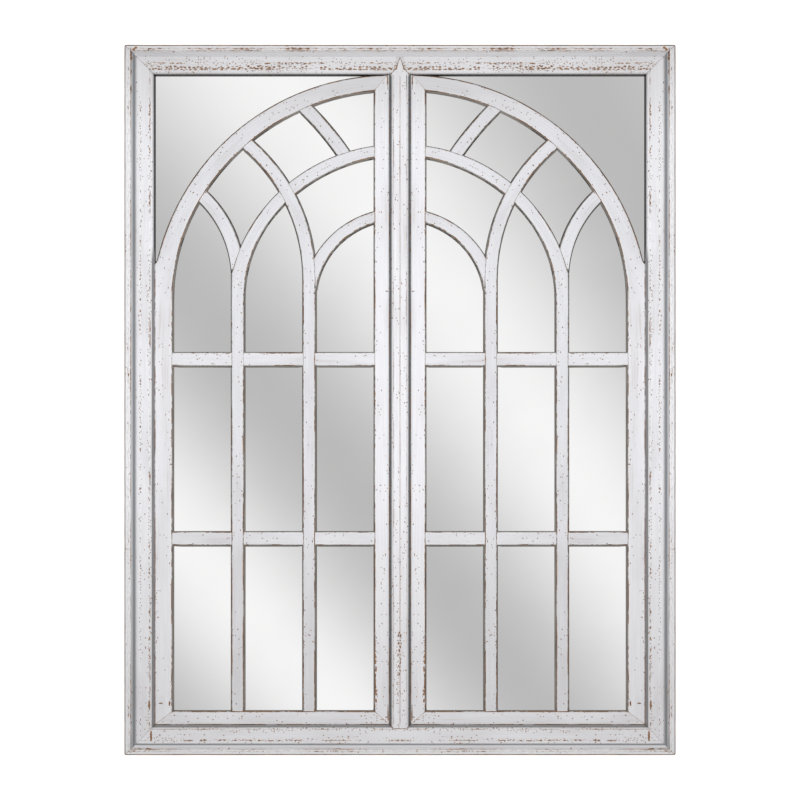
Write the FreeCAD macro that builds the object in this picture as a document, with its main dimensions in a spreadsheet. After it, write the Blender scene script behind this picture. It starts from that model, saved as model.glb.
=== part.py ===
import FreeCAD, Part

import math
import os

import Sketcher

# Wall mirror made like a pair of painted window leaves in a moulded frame. Millimetres.
# X runs across, Z up, and the front faces -Y. The origin lies on the plane of the frame's
# back, at the middle of the mullion. Depths are told from that plane towards the front.

doc = FreeCAD.newDocument("ArchedWindowMirror")

# ---------------------------------------------------------------- driving dimensions

DIMENSIONS = [
    ("frame_width", 900, "outer frame, across"),
    ("frame_height", 1160, "outer frame, upright"),
    ("frame_depth", 30, "back plane to the face of the proud lip"),
    ("lip_width", 12, "proud outer lip of the moulding"),
    ("lip_round", 4, "outer arris of the lip"),
    ("lip_ease", 1.5, "inner arris of the lip"),
    ("cove_radius", 5, "hollow between lip and quirk"),
    ("quirk_floor", 0.8, "flat floor of the quirk"),
    ("riser_run", 1.2, "slope from the quirk up to the fascia"),
    ("fascia_level", 26, "back plane to the flat fascia"),
    ("bead_radius", 6, "quarter round at the sight edge"),
    ("face_width", 48.5, "outer edge to sight edge"),
    ("rabbet_width", 12, "ledge that the glass bears on"),
    ("rabbet_depth", 11, "back plane to that ledge"),
    ("mullion_width", 32.6, "between its two sight edges"),
    ("web_width", 14.6, "mullion behind the ledge, between the panes"),
    ("groove_half", 0.8, "half the width of the V-groove, and its depth"),
    ("shoulder_half", 8, "half width where the mullion's mitres end"),
    ("neck_half", 4.4, "half width of the pointed tongue at its neck"),
    ("neck_rise", 17, "sight edge to that neck"),
    ("foot_half", 10.8, "half width of the square foot of the mullion"),
    ("glass_thickness", 4, "silvered glass"),
    ("board_thickness", 3, "hardboard behind the glass"),
    ("edge_gap", 1.5, "glass and board to the rabbet wall"),
    ("web_gap", 1.0, "glass and board to the mullion's web"),
    ("glass_ease", 0.6, "ground edge of the glass"),
    ("leaf_thickness", 8, "tracery of a leaf, lying on the glass"),
    ("leaf_gap", 0.3, "leaf to the sight edges round it"),
    ("arris", 1.0, "eased front edges of the tracery"),
    ("outer_stile", 28.5, "stile beside the frame"),
    ("inner_stile", 25, "stile beside the mullion"),
    ("sill_rail", 22, "bottom rail of a leaf"),
    ("bar_width", 19.5, "muntins and reverse ribs"),
    ("cross_bar", 21, "horizontal bars"),
    ("upper_bar_drop", 74.9, "big arch's centre down to the upper horizontal bar"),
    ("springing_rise", 23.3, "that centre up to where the big and second arch start to curve"),
    ("main_over", 4.9, "big arch's outer radius, more than the leaf is wide"),
    ("main_haunch_under", 19.1, "its low inner radius, less than its span"),
    ("main_sweep_over", 37.9, "its high inner radius, more than its span"),
    ("main_turn", 28, "angle where the two meet"),
    ("mitre_back", 4, "top of the arch's mitre from the leaf's edge"),
    ("toe_above", 79.9, "big arch's centre up to where its outer edge leaves the frame"),
    ("toe_rise", 7.2, "slanted toe above that"),
    ("second_over", 8.2, "second arch's outer radius, more than its span"),
    ("second_centre", 11.6, "its centre, from the leaf's inner edge"),
    ("second_drop", 2.7, "its centre below the big arch's"),
    ("second_haunch_over", 0.8, "its low inner radius, more than its span"),
    ("second_sweep_over", 58.8, "its high inner radius, more than its span"),
    ("second_turn", 40, "angle where the two meet"),
    ("third_over", 21.2, "third arch's outer radius, more than its span"),
    ("third_centre", 13.9, "its centre, from the leaf's inner edge"),
    ("third_rise", 13.9, "its centre above the big arch's"),
    ("third_springing_rise", 21.3, "big arch's centre up to where the third arch starts to curve"),
    ("third_haunch_over", 30.6, "its low inner radius, more than its span"),
    ("third_sweep_over", 41.1, "its high inner radius, more than its span"),
    ("third_turn", 30, "angle where the two meet"),
    ("third_foot", 16, "square cut of its foot above its springing"),
    ("rib_rise", 58.3, "big arch's centre up to where the reverse ribs start to curve"),
    ("rib_outer", 183.5, "radius of the outer reverse rib, at its middle"),
    ("rib_inner", 287, "radius of the inner reverse rib, at its middle"),
    ("rib_short", 478.5, "radius of the short top rib, at its middle"),
    ("rib_short_side", 7.1, "its circle's right side, from the leaf's inner edge"),
    ("rib_short_drop", 7.7, "its centre below the big arch's"),
    ("nail_leg", 9, "leg of a V-nail"),
    ("nail_thickness", 1, "steel of a V-nail"),
    ("nail_depth", 12, "how deep a V-nail is driven"),
    ("nail_first", 11, "outer V-nail from the frame's edge"),
    ("nail_second", 24, "inner V-nail from the frame's edge"),
    ("point_width", 8, "retaining point, along the rabbet"),
    ("point_thickness", 0.8, "retaining point"),
    ("point_sunk", 6, "retaining point, inside the wood"),
    ("point_reach", 8, "retaining point, over the board"),
    ("drive_gap", 0.1, "slot round what is driven into the wood"),
    ("hanger_height", 320, "height of the hanger's eye"),
    ("strap_thickness", 1.5, "strap of the hanger"),
    ("strap_width", 16, "strap of the hanger"),
    ("strap_length", 58, "eye to the strap's lower end"),
    ("strap_round", 7.5, "corners of the strap's lower end"),
    ("strap_hole", 2.2, "radius of a screw hole in the strap"),
    ("ring_wire", 2, "radius of the ring's wire"),
    ("ring_run", 0.1, "running clearance of the ring in the eye"),
    ("ring_half", 13, "half width of the ring, to the wire's middle"),
    ("ring_corner", 3, "upper corners of the ring"),
    ("ring_leg", 10, "eye to where the bow starts"),
    ("ring_lean", 5, "angle of the hanging ring from the frame's back"),
    ("eye_end", 60, "angle of the curled strap's end below level"),
    ("screw_first", 33, "eye to the upper screw"),
    ("screw_pitch", 16, "between the two screws"),
    ("screw_shank", 1.75, "radius of the screw's shank"),
    ("screw_length", 14, "shank below the strap"),
    ("screw_point", 3, "tapered end of the shank"),
    ("screw_head", 3.75, "radius of the screw's head"),
    ("screw_rim", 0.6, "straight rim of the head"),
    ("screw_dome", 1.6, "dome above the rim"),
    ("pilot_gap", 0.05, "pilot hole round the shank"),
    ("bumper_radius", 8, "soft pad between frame and wall"),
    ("bumper_height", 4, "soft pad"),
    ("bumper_ease", 1, "rounded edge of the pad"),
    ("bumper_up", 35, "pad's middle above the frame's lower edge"),
    ("margin", 2, "how far a cutting shape reaches past the piece"),
]

sheet = doc.addObject("Spreadsheet::Sheet", "Sizes")
for row, (alias, value, note) in enumerate(DIMENSIONS, start=1):
    sheet.set(f"A{row}", note)
    sheet.set(f"B{row}", str(value))
    sheet.setAlias(f"B{row}", alias)
doc.recompute()


class Size:
    """A length or angle: its value now, and the formula that ties a feature to the sheet."""

    def __init__(self, now, formula):
        self.now = now
        self.formula = formula

    def __add__(self, other):
        other = as_size(other)
        return Size(self.now + other.now, f"({self.formula} + {other.formula})")

    def __sub__(self, other):
        other = as_size(other)
        return Size(self.now - other.now, f"({self.formula} - {other.formula})")

    def __mul__(self, other):
        other = as_size(other)
        return Size(self.now * other.now, f"({self.formula} * {other.formula})")

    def __truediv__(self, other):
        other = as_size(other)
        return Size(self.now / other.now, f"({self.formula} / {other.formula})")

    def __neg__(self):
        return Size(-self.now, f"(0 - {self.formula})")


def as_size(value):
    return value if isinstance(value, Size) else Size(float(value), f"({value})")


def root(size):
    return Size(math.sqrt(size.now), f"sqrt({size.formula})")


def sine(angle):
    return Size(math.sin(math.radians(angle.now)), f"sin({angle.formula})")


def cosine(angle):
    return Size(math.cos(math.radians(angle.now)), f"cos({angle.formula})")


def dim(alias):
    return Size(float(getattr(sheet, alias)), f"Sizes.{alias}")


ZERO = as_size(0)

# ---------------------------------------------------------------- sketches and features


def plane_of(body, role):
    return next(f for f in body.Origin.OriginFeatures if f.Role == role)


def new_body(name):
    body = doc.addObject("PartDesign::Body", name)
    body.Label = name
    body.AllowCompound = True
    return body


def new_sketch(body, name, role="XZ_Plane", depth=ZERO):
    """A sketch on one of the body's own planes, moved along its normal by depth."""
    sketch = body.newObject("Sketcher::SketchObject", name)
    sketch.AttachmentSupport = [(plane_of(body, role), "")]
    sketch.MapMode = "FlatFace"
    sketch.AttachmentOffset = FreeCAD.Placement(FreeCAD.Vector(0, 0, depth.now), FreeCAD.Rotation())
    sketch.setExpression("AttachmentOffset.Base.z", depth.formula)
    return sketch


class Corner:
    """A vertex whose place is given by the sheet."""

    def __init__(self, across, up):
        self.across = as_size(across)
        self.up = as_size(up)
        self.at = (self.across.now, self.up.now)


class Meeting:
    """A vertex that lies where its two circles cross."""

    def __init__(self, first, second, highest=True):
        (x1, z1), r1 = first.at, first.radius.now
        (x2, z2), r2 = second.at, second.radius.now
        span = math.hypot(x2 - x1, z2 - z1)
        along = (span * span + r1 * r1 - r2 * r2) / (2 * span)
        aside = math.sqrt(r1 * r1 - along * along)
        ux, uz = (x2 - x1) / span, (z2 - z1) / span
        crossings = [(x1 + along * ux - s * aside * uz, z1 + along * uz + s * aside * ux) for s in (1, -1)]
        crossings.sort(key=lambda point: point[1])
        self.at = crossings[1 if highest else 0]


class Ring:
    """A circle that some edges of the tracery follow."""

    def __init__(self, across, up, radius):
        self.across = as_size(across)
        self.up = as_size(up)
        self.radius = as_size(radius)
        self.at = (self.across.now, self.up.now)

    def top_at(self, across):
        """The corner on the upper half of the circle at this distance across."""
        step = across - self.across
        return Corner(across, self.up + root(self.radius * self.radius - step * step))

    def left_at(self, up):
        """The corner on the left half of the circle at this height."""
        rise = up - self.up
        return Corner(self.across - root(self.radius * self.radius - rise * rise), up)


LEFT, RIGHT = 1, -1     # an arc that turns left (counter-clockwise) or right, seen in the sketch


def bind(sketch, constraint, size):
    index = sketch.addConstraint(constraint)
    sketch.setExpression(f"Constraints[{index}]", size.formula)


def bind_point(sketch, item, position, across, up):
    bind(sketch, Sketcher.Constraint("DistanceX", -1, 1, item, position, across.now), across)
    bind(sketch, Sketcher.Constraint("DistanceY", -1, 1, item, position, up.now), up)


def draw(sketch, vertices, edges):
    """Draws a closed outline. edges[i] joins vertices[i] to the next one: None is a straight
    edge, and (ring, turn) an arc of that ring. Given corners are bound to the sheet."""
    count = len(vertices)
    starts, ends = [], []
    for i, edge in enumerate(edges):
        (x1, z1), (x2, z2) = vertices[i].at, vertices[(i + 1) % count].at
        if edge is None:
            item = sketch.addGeometry(
                Part.LineSegment(FreeCAD.Vector(x1, z1, 0), FreeCAD.Vector(x2, z2, 0)), False)
            starts.append((item, 1))
            ends.append((item, 2))
            continue
        ring, turn = edge
        cx, cz = ring.at
        first = math.atan2(z1 - cz, x1 - cx)
        last = math.atan2(z2 - cz, x2 - cx)
        if turn == RIGHT:
            first, last = last, first
        while last <= first:
            last += 2 * math.pi
        circle = Part.Circle(FreeCAD.Vector(cx, cz, 0), FreeCAD.Vector(0, 0, 1), ring.radius.now)
        item = sketch.addGeometry(Part.ArcOfCircle(circle, first, last), False)
        starts.append((item, 1 if turn == LEFT else 2))
        ends.append((item, 2 if turn == LEFT else 1))
        given = [isinstance(vertices[i], Corner), isinstance(vertices[(i + 1) % count], Corner)]
        if all(given):
            bind(sketch, Sketcher.Constraint("Radius", item, ring.radius.now), ring.radius)
        else:
            bind_point(sketch, item, 3, ring.across, ring.up)
            if not any(given):
                bind(sketch, Sketcher.Constraint("Radius", item, ring.radius.now), ring.radius)
    for i, vertex in enumerate(vertices):
        item, position = starts[i]
        sketch.addConstraint(Sketcher.Constraint("Coincident", *ends[i - 1], item, position))
        if isinstance(vertex, Corner):
            bind_point(sketch, item, position, vertex.across, vertex.up)
    return [item for item, position in starts]


def polygon(sketch, points):
    return draw(sketch, [Corner(across, up) for across, up in points], [None] * len(points))


def box_points(low, high):
    """Corners of an upright rectangle between two opposite corners."""
    return [(low[0], low[1]), (high[0], low[1]), (high[0], high[1]), (low[0], high[1])]


def draw_disc(sketch, across, up, radius):
    circle = Part.Circle(FreeCAD.Vector(across.now, up.now, 0), FreeCAD.Vector(0, 0, 1), radius.now)
    item = sketch.addGeometry(circle, False)
    bind_point(sketch, item, 3, across, up)
    bind(sketch, Sketcher.Constraint("Radius", item, radius.now), radius)


def pad(body, sketch, length, side="One side", backwards=False):
    feature = body.newObject("PartDesign::Pad", sketch.Name + "_pad")
    feature.Profile = sketch
    feature.SideType = side
    feature.Reversed = backwards
    feature.Length = length.now
    feature.setExpression("Length", length.formula)
    return feature


def pocket(body, sketch, depth=None, side="One side", towards_front=False):
    """Cuts a sketch's outline away: through everything, or to a depth."""
    feature = body.newObject("PartDesign::Pocket", sketch.Name + "_cut")
    feature.Profile = sketch
    feature.SideType = side
    feature.Reversed = towards_front
    if depth is None:
        feature.Type = "ThroughAll"
    else:
        feature.Type = "Length"
        feature.Length = depth.now
        feature.setExpression("Length", depth.formula)
    return feature


def dress(body, kind, base, names, size, key):
    """A fillet or chamfer on the named edges of a feature."""
    feature = body.newObject("PartDesign::" + kind, base.Name + "_" + kind.lower())
    feature.Base = (base, names)
    setattr(feature, key, size.now)
    feature.setExpression(key, size.formula)
    return feature


def edges_where(shape, test):
    return [f"Edge{i}" for i, edge in enumerate(shape.Edges, start=1) if test(edge)]


def middle(edge):
    return edge.valueAt((edge.FirstParameter + edge.LastParameter) / 2)


TOUCH = 0.01    # two places closer than this are the same place


def soften(body, sketch, feature, items, front, size):
    """Eases the front edges that were drawn as these items of the sketch."""
    doc.recompute()
    marks = []
    for item in items:
        curve = sketch.Geometry[item]
        place = curve.value((curve.FirstParameter + curve.LastParameter) / 2)
        marks.append(FreeCAD.Vector(place.x, -front.now, place.y))
    names = edges_where(
        feature.Shape, lambda edge: any((middle(edge) - mark).Length < TOUCH for mark in marks))
    return dress(body, "Chamfer", feature, names, size, "Size")


def mirror_copy(source, name):
    """The same piece on the other side of the mullion."""
    copy = doc.addObject("Part::Mirroring", name)
    copy.Label = name
    copy.Source = source
    copy.Normal = (1, 0, 0)
    return copy


NODES = []


def keep(*pieces):
    NODES.extend(pieces)


# ---------------------------------------------------------------- sizes shared by the pieces

half_width = dim("frame_width") / 2
half_height = dim("frame_height") / 2
face = dim("face_width")
ledge = dim("rabbet_depth")
margin = dim("margin")
sight_side = half_width - face
sight_top = half_height - face
rabbet_wall = face - dim("rabbet_width")
fascia_start = dim("lip_width") + dim("cove_radius") + dim("quirk_floor") + dim("riser_run")
mullion_half = dim("mullion_width") / 2
web_half = dim("web_width") / 2
hanger_across = half_width - rabbet_wall / 2

SCREWS = 2      # in each hanger
screw_drops = [dim("screw_first") + dim("screw_pitch") * count for count in range(SCREWS)]

# ---------------------------------------------------------------- outer frame


def moulding(sketch, place, turned_over):
    """The frame's section. place turns (distance in from the outer edge, height above the
    back plane) into the sketch's two directions, and may turn the section over."""
    depth = dim("frame_depth")
    lip = dim("lip_width")
    lip_round = dim("lip_round")
    ease = dim("lip_ease")
    cove = dim("cove_radius")
    fascia = dim("fascia_level")
    bead = dim("bead_radius")
    floor_start = lip + cove
    floor_end = floor_start + dim("quirk_floor")
    shoulder = depth - ease
    left, right = (RIGHT, LEFT) if turned_over else (LEFT, RIGHT)
    points = [(ZERO, ZERO), (ZERO, depth - lip_round), (lip_round, depth), (lip - ease, depth),
              (lip, shoulder), (floor_start, shoulder - cove), (floor_end, shoulder - cove),
              (fascia_start, fascia), (face - bead, fascia), (face, fascia - bead),
              (face, ledge), (rabbet_wall, ledge), (rabbet_wall, ZERO)]
    edges = [None] * len(points)
    edges[1] = (Ring(*place(lip_round, depth - lip_round), lip_round), right)
    edges[3] = (Ring(*place(lip - ease, shoulder), ease), right)
    edges[4] = (Ring(*place(lip + cove, shoulder), cove), left)
    edges[8] = (Ring(*place(face - bead, fascia - bead), bead), right)
    draw(sketch, [Corner(*place(inward, height)) for inward, height in points], edges)


def tongue_outline():
    """The mullion's pointed head, as corners from one sight edge to the other."""
    shoulder = dim("shoulder_half")
    neck = dim("neck_half")
    shoulder_up = sight_top + mullion_half - shoulder
    one_side = [(mullion_half, sight_top), (shoulder, shoulder_up), (neck, sight_top + dim("neck_rise"))]
    tip = [(ZERO, half_height - fascia_start)]
    other_side = [(-across, up) for across, up in reversed(one_side)]
    return one_side + tip + other_side


def foot_outline():
    """The mullion's mitred and squared foot, from one sight edge to the other."""
    foot = dim("foot_half")
    low = -(sight_top + mullion_half - foot)
    return [(mullion_half, -sight_top), (foot, low), (-foot, low), (-mullion_half, -sight_top)]


def nail_outline(inward, side, level, grow):
    """One V-nail across a mitre. side and level are 1 or -1 for the four corners."""
    half = dim("nail_thickness") / 2 + grow
    leg = dim("nail_leg") + grow
    across = (half_width - inward) * side
    up = (half_height - inward) * level
    legs = [(-half, -half), (leg, -half), (leg, half), (half, half), (half, leg), (-half, leg)]
    return [(across - step * side, up - drop * level) for step, drop in legs]


def corner_nails(sketch, corners, grow):
    for side, level in corners:
        for inward in (dim("nail_first"), dim("nail_second")):
            polygon(sketch, nail_outline(inward, side, level, grow))


POINTS = 4      # retaining points along each edge, evenly spread over the sight opening


def point_boxes(edge):
    """The retaining points along one edge of the frame, as (low corner, high corner)."""
    half = dim("point_width") / 2
    upright = edge in ("left", "right")
    wall = (half_width if upright else half_height) - rabbet_wall
    driven = wall + dim("point_sunk")
    free = wall - dim("edge_gap") - dim("point_reach")
    low, high = (free, driven) if edge in ("right", "top") else (-driven, -free)
    boxes = []
    for place in range(POINTS):
        along = (sight_top if upright else sight_side) * ((2 * place + 1) / POINTS - 1)
        first, last = along - half, along + half
        boxes.append(((low, first), (high, last)) if upright else ((first, low), (last, high)))
    return boxes


def grown(box, gap):
    low, high = box
    return (low[0] - gap, low[1] - gap), (high[0] + gap, high[1] + gap)


board_back = ledge - dim("glass_thickness") - dim("board_thickness")
point_back = board_back - dim("point_thickness")


def cut_fastener_slots(body, name, edge, corners):
    """Slots for the V-nails at both ends, and for the retaining points along the rabbet."""
    gap = dim("drive_gap")
    nails = new_sketch(body, name + "_nail_slots")
    corner_nails(nails, corners, gap)
    pocket(body, nails, dim("nail_depth") + gap, towards_front=True)
    slots = new_sketch(body, name + "_point_slots", depth=point_back - gap)
    for box in point_boxes(edge):
        polygon(slots, box_points(*grown(box, gap)))
    pocket(body, slots, dim("point_thickness") + gap, towards_front=True)


def frame_rail(name, level):
    """Top rail (level 1) or bottom rail (level -1), mitred at both ends."""
    body = new_body(name)
    profile = new_sketch(body, name + "_section", "YZ_Plane")
    moulding(profile, lambda inward, height: (-height, (half_height - inward) * level), level == 1)
    pad(body, profile, dim("frame_width"), side="Symmetric")
    mitres = new_sketch(body, name + "_mitres")
    for side in (-1, 1):
        outer = (half_width + margin) * side
        inner = (sight_side - margin) * side
        polygon(mitres, [(outer, (half_height + margin) * level), (inner, (sight_top - margin) * level),
                         (outer, (sight_top - margin) * level)])
    pocket(body, mitres, side="Symmetric")
    housing = new_sketch(body, name + "_housing", depth=ledge)
    outline = tongue_outline() if level == 1 else foot_outline()
    below = (sight_top - margin) * level
    polygon(housing, outline + [(-mullion_half, below), (mullion_half, below)])
    pocket(body, housing, towards_front=True)
    cut_fastener_slots(body, name, "top" if level == 1 else "bottom", [(-1, level), (1, level)])
    return body


def frame_stile(name):
    """The left stile, with the pilot holes of its hanger in the back."""
    body = new_body(name)
    profile = new_sketch(body, name + "_section", "XY_Plane")
    moulding(profile, lambda inward, height: (inward - half_width, -height), True)
    pad(body, profile, dim("frame_height"), side="Symmetric")
    mitres = new_sketch(body, name + "_mitres")
    for level in (-1, 1):
        outer = (half_height + margin) * level
        polygon(mitres, [(-(half_width + margin), outer), (-(sight_side - margin), outer),
                         (-(sight_side - margin), (sight_top - margin) * level)])
    pocket(body, mitres, side="Symmetric")
    cut_fastener_slots(body, name, "left", [(-1, -1), (-1, 1)])
    pilots = new_sketch(body, name + "_pilots")
    for drop in screw_drops:
        draw_disc(pilots, -hanger_across, dim("hanger_height") - drop,
                  dim("screw_shank") + dim("pilot_gap"))
    pocket(body, pilots, dim("screw_length") + dim("pilot_gap"), towards_front=True)
    return body


def centre_mullion(name):
    """Upright between the leaves: a web behind, a moulded front with a head and a foot let
    into the rails."""
    body = new_body(name)
    web = new_sketch(body, name + "_web", "XY_Plane")
    polygon(web, box_points((-web_half, -ledge), (web_half, ZERO)))
    pad(body, web, (half_height - rabbet_wall) * 2, side="Symmetric")
    bead = dim("bead_radius")
    fascia = dim("fascia_level")
    groove = dim("groove_half")
    flat = mullion_half - bead
    section = new_sketch(body, name + "_section", "XY_Plane")
    points = [(-mullion_half, -ledge), (-mullion_half, bead - fascia), (-flat, -fascia),
              (-groove, -fascia), (ZERO, groove - fascia), (groove, -fascia),
              (flat, -fascia), (mullion_half, bead - fascia), (mullion_half, -ledge)]
    edges = [None] * len(points)
    edges[1] = (Ring(-flat, bead - fascia, bead), LEFT)
    edges[6] = (Ring(flat, bead - fascia, bead), LEFT)
    draw(section, [Corner(*point) for point in points], edges)
    pad(body, section, (half_height - fascia_start) * 2, side="Symmetric")
    clear = mullion_half + margin
    beyond = half_height - fascia_start + margin
    head = new_sketch(body, name + "_head", depth=ledge)
    polygon(head, tongue_outline() + [(-clear, sight_top), (-clear, beyond), (clear, beyond),
                                      (clear, sight_top)])
    pocket(body, head, towards_front=True)
    foot = new_sketch(body, name + "_foot", depth=ledge)
    polygon(foot, foot_outline() + [(-clear, -sight_top), (-clear, -beyond), (clear, -beyond),
                                    (clear, -sight_top)])
    pocket(body, foot, towards_front=True)
    return body


top_rail = frame_rail("frame_top_rail", 1)
bottom_rail = frame_rail("frame_bottom_rail", -1)
left_stile = frame_stile("frame_left_stile")
keep(top_rail, bottom_rail, left_stile, mirror_copy(left_stile, "frame_right_stile"),
     centre_mullion("centre_mullion"))

# ---------------------------------------------------------------- glass, boards, fasteners


def pane(name, depth, thickness):
    """A sheet that fills the left rabbet, up to the mullion's web."""
    body = new_body(name)
    side = half_width - rabbet_wall - dim("edge_gap")
    top = half_height - rabbet_wall - dim("edge_gap")
    outline = new_sketch(body, name + "_outline", depth=depth)
    polygon(outline, box_points((-side, -top), (-(web_half + dim("web_gap")), top)))
    return body, pad(body, outline, thickness)


glass, glass_pad = pane("mirror_glass_left", ledge - dim("glass_thickness"), dim("glass_thickness"))
doc.recompute()
front_edges = edges_where(
    glass_pad.Shape, lambda edge: edge.BoundBox.YLength < TOUCH and middle(edge).y < TOUCH - ledge.now)
dress(glass, "Chamfer", glass_pad, front_edges, dim("glass_ease"), "Size")
board, board_pad = pane("backing_board_left", board_back, dim("board_thickness"))
keep(glass, mirror_copy(glass, "mirror_glass_right"), board, mirror_copy(board, "backing_board_right"))

nails = new_body("corner_v_nails")
nail_sketch = new_sketch(nails, "nail_outlines")
corner_nails(nail_sketch, [(-1, -1), (-1, 1), (1, -1), (1, 1)], ZERO)
pad(nails, nail_sketch, dim("nail_depth"))

points_body = new_body("retaining_points")
point_sketch = new_sketch(points_body, "point_outlines", depth=point_back)
for frame_edge in ("left", "right", "top", "bottom"):
    for point_box in point_boxes(frame_edge):
        polygon(point_sketch, box_points(*point_box))
pad(points_body, point_sketch, dim("point_thickness"))

bumpers = new_body("wall_bumpers")
bumper_sketch = new_sketch(bumpers, "bumper_outlines")
for side in (-1, 1):
    draw_disc(bumper_sketch, hanger_across * side, dim("bumper_up") - half_height, dim("bumper_radius"))
bumper_pad = pad(bumpers, bumper_sketch, dim("bumper_height"), backwards=True)
doc.recompute()
bumper_rims = edges_where(
    bumper_pad.Shape,
    lambda edge: edge.BoundBox.YLength < TOUCH and middle(edge).y > dim("bumper_height").now - TOUCH)
dress(bumpers, "Fillet", bumper_pad, bumper_rims, dim("bumper_ease"), "Radius")
keep(nails, points_body, bumpers)

# ---------------------------------------------------------------- tracery of the left leaf

BAYS = 3        # openings side by side in a leaf
leaf_left = dim("leaf_gap") - sight_side
leaf_right = -(mullion_half + dim("leaf_gap"))
leaf_top = sight_top - dim("leaf_gap")
leaf_front = ledge + dim("leaf_thickness")
sill_top = dim("sill_rail") - leaf_top
bar_half = dim("bar_width") / 2
stile_edge = leaf_left + dim("outer_stile")
inner_edge = leaf_right - dim("inner_stile")
bay = (inner_edge - stile_edge - dim("bar_width") * (BAYS - 1)) / BAYS
pitch = bay + dim("bar_width")
muntin_one = stile_edge + bay + bar_half
muntin_two = muntin_one + pitch


main_crown = leaf_right - leaf_left + dim("main_over")
arch_level = leaf_top - main_crown
springing = arch_level + dim("springing_rise")
rib_springing = arch_level + dim("rib_rise")
toe_level = arch_level + dim("toe_above")


class Haunch:
    """The inner edge of an arch: it rises from a bar, bends with a small radius and sweeps on
    with a larger one, with no kink between them."""

    def __init__(self, edge, springing, small, large, turn):
        lift = large - small
        self.foot = Corner(edge, springing)
        self.knee = Corner(edge + small - small * cosine(turn), springing + small * sine(turn))
        self.low = Ring(edge + small, springing, small)
        self.high = Ring(edge + small + lift * cosine(turn), springing - lift * sine(turn), large)


class Rib:
    """A bar bent along a circle, given by its centre and the radius of its middle line."""

    def __init__(self, across, up, radius):
        self.inside = Ring(across, up, radius - bar_half)
        self.outside = Ring(across, up, radius + bar_half)


main_span = inner_edge - stile_edge
main_in = Haunch(stile_edge, springing, main_span - dim("main_haunch_under"),
                 main_span + dim("main_sweep_over"), dim("main_turn"))
main_out = Ring(leaf_right, arch_level, main_crown)

second_edge = muntin_one + bar_half
second_span = inner_edge - second_edge
second_middle = leaf_right + dim("second_centre")
second_in = Haunch(second_edge, springing, second_span + dim("second_haunch_over"),
                   second_span + dim("second_sweep_over"), dim("second_turn"))
second_out = Ring(second_middle, arch_level - dim("second_drop"),
                  second_middle - (muntin_one - bar_half) + dim("second_over"))

third_edge = muntin_two + bar_half
third_span = inner_edge - third_edge
third_middle = leaf_right + dim("third_centre")
third_springing = arch_level + dim("third_springing_rise")
third_in = Haunch(third_edge, third_springing, third_span + dim("third_haunch_over"),
                  third_span + dim("third_sweep_over"), dim("third_turn"))
third_out = Ring(third_middle, arch_level + dim("third_rise"),
                 third_middle - third_edge + dim("third_over"))

rib_a = Rib(muntin_one - dim("rib_outer"), rib_springing, dim("rib_outer"))
rib_c = Rib(muntin_two - dim("rib_inner"), rib_springing, dim("rib_inner"))
rib_e = Rib(leaf_right + dim("rib_short_side") - dim("rib_short"), arch_level - dim("rib_short_drop"),
            dim("rib_short"))

heel = main_in.high.top_at(inner_edge)
mitre_top = main_out.top_at(leaf_right - dim("mitre_back"))


def tracery_bar(name, vertices, edges, worn):
    """One flat bar of the leaf. The edges listed in worn are those that meet no other bar, and
    their front arrises are eased."""
    body = new_body(name)
    outline = new_sketch(body, name + "_outline", depth=ledge)
    items = draw(outline, vertices, edges)
    block = pad(body, outline, dim("leaf_thickness"))
    soften(body, outline, block, [items[i] for i in worn], leaf_front, dim("arris"))
    keep(body, mirror_copy(body, name.replace("left_", "right_")))
    return body


tracery_bar(
    "left_outer_stile_and_arch",
    [Corner(leaf_left, -leaf_top), Corner(stile_edge, sill_top), main_in.foot, main_in.knee, heel,
     mitre_top, main_out.left_at(toe_level + dim("toe_rise")), Corner(leaf_left, toe_level)],
    [None, None, (main_in.low, RIGHT), (main_in.high, RIGHT), None, (main_out, LEFT), None, None],
    worn=[1, 2, 3, 5, 6, 7])

tracery_bar(
    "left_inner_stile",
    [Corner(leaf_right, -leaf_top), Corner(leaf_right, leaf_top), mitre_top, heel,
     Corner(inner_edge, sill_top)],
    [None] * 5, worn=[0, 3])

tracery_bar(
    "left_sill_rail",
    [Corner(leaf_left, -leaf_top), Corner(leaf_right, -leaf_top), Corner(inner_edge, sill_top),
     Corner(stile_edge, sill_top)],
    [None] * 4, worn=[0, 2])

tracery_bar(
    "left_muntin_one",
    [Corner(muntin_one - bar_half, sill_top), Corner(second_edge, sill_top), second_in.foot,
     second_in.knee, Meeting(second_in.high, rib_c.inside), Meeting(second_out, rib_c.inside),
     second_out.top_at(muntin_one - bar_half)],
    [None, None, (second_in.low, RIGHT), (second_in.high, RIGHT), (rib_c.inside, LEFT),
     (second_out, LEFT), None],
    worn=[1, 2, 3, 5, 6])

tracery_bar(
    "left_muntin_two",
    [Corner(muntin_two - bar_half, sill_top), Corner(third_edge, sill_top),
     Corner(third_edge, rib_springing), Meeting(rib_c.outside, main_in.high),
     Meeting(rib_c.inside, main_in.high), Corner(muntin_two - bar_half, rib_springing)],
    [None, None, (rib_c.outside, LEFT), (main_in.high, LEFT), (rib_c.inside, RIGHT), None],
    worn=[1, 2, 4, 5])

tracery_bar(
    "left_second_arch",
    [Meeting(rib_c.outside, second_in.high), second_in.high.top_at(inner_edge),
     second_out.top_at(inner_edge), Meeting(rib_c.outside, second_out)],
    [(second_in.high, RIGHT), None, (second_out, LEFT), (rib_c.outside, RIGHT)],
    worn=[0, 2])

third_cut = third_springing + dim("third_foot")
tracery_bar(
    "left_third_arch",
    [Corner(third_edge, third_cut), third_in.low.left_at(third_cut), third_in.knee,
     third_in.high.top_at(inner_edge), third_out.top_at(inner_edge),
     Meeting(rib_c.outside, third_out), Corner(third_edge, rib_springing)],
    [None, (third_in.low, RIGHT), (third_in.high, RIGHT), None, (third_out, LEFT),
     (rib_c.outside, RIGHT), None],
    worn=[2, 4])

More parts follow.
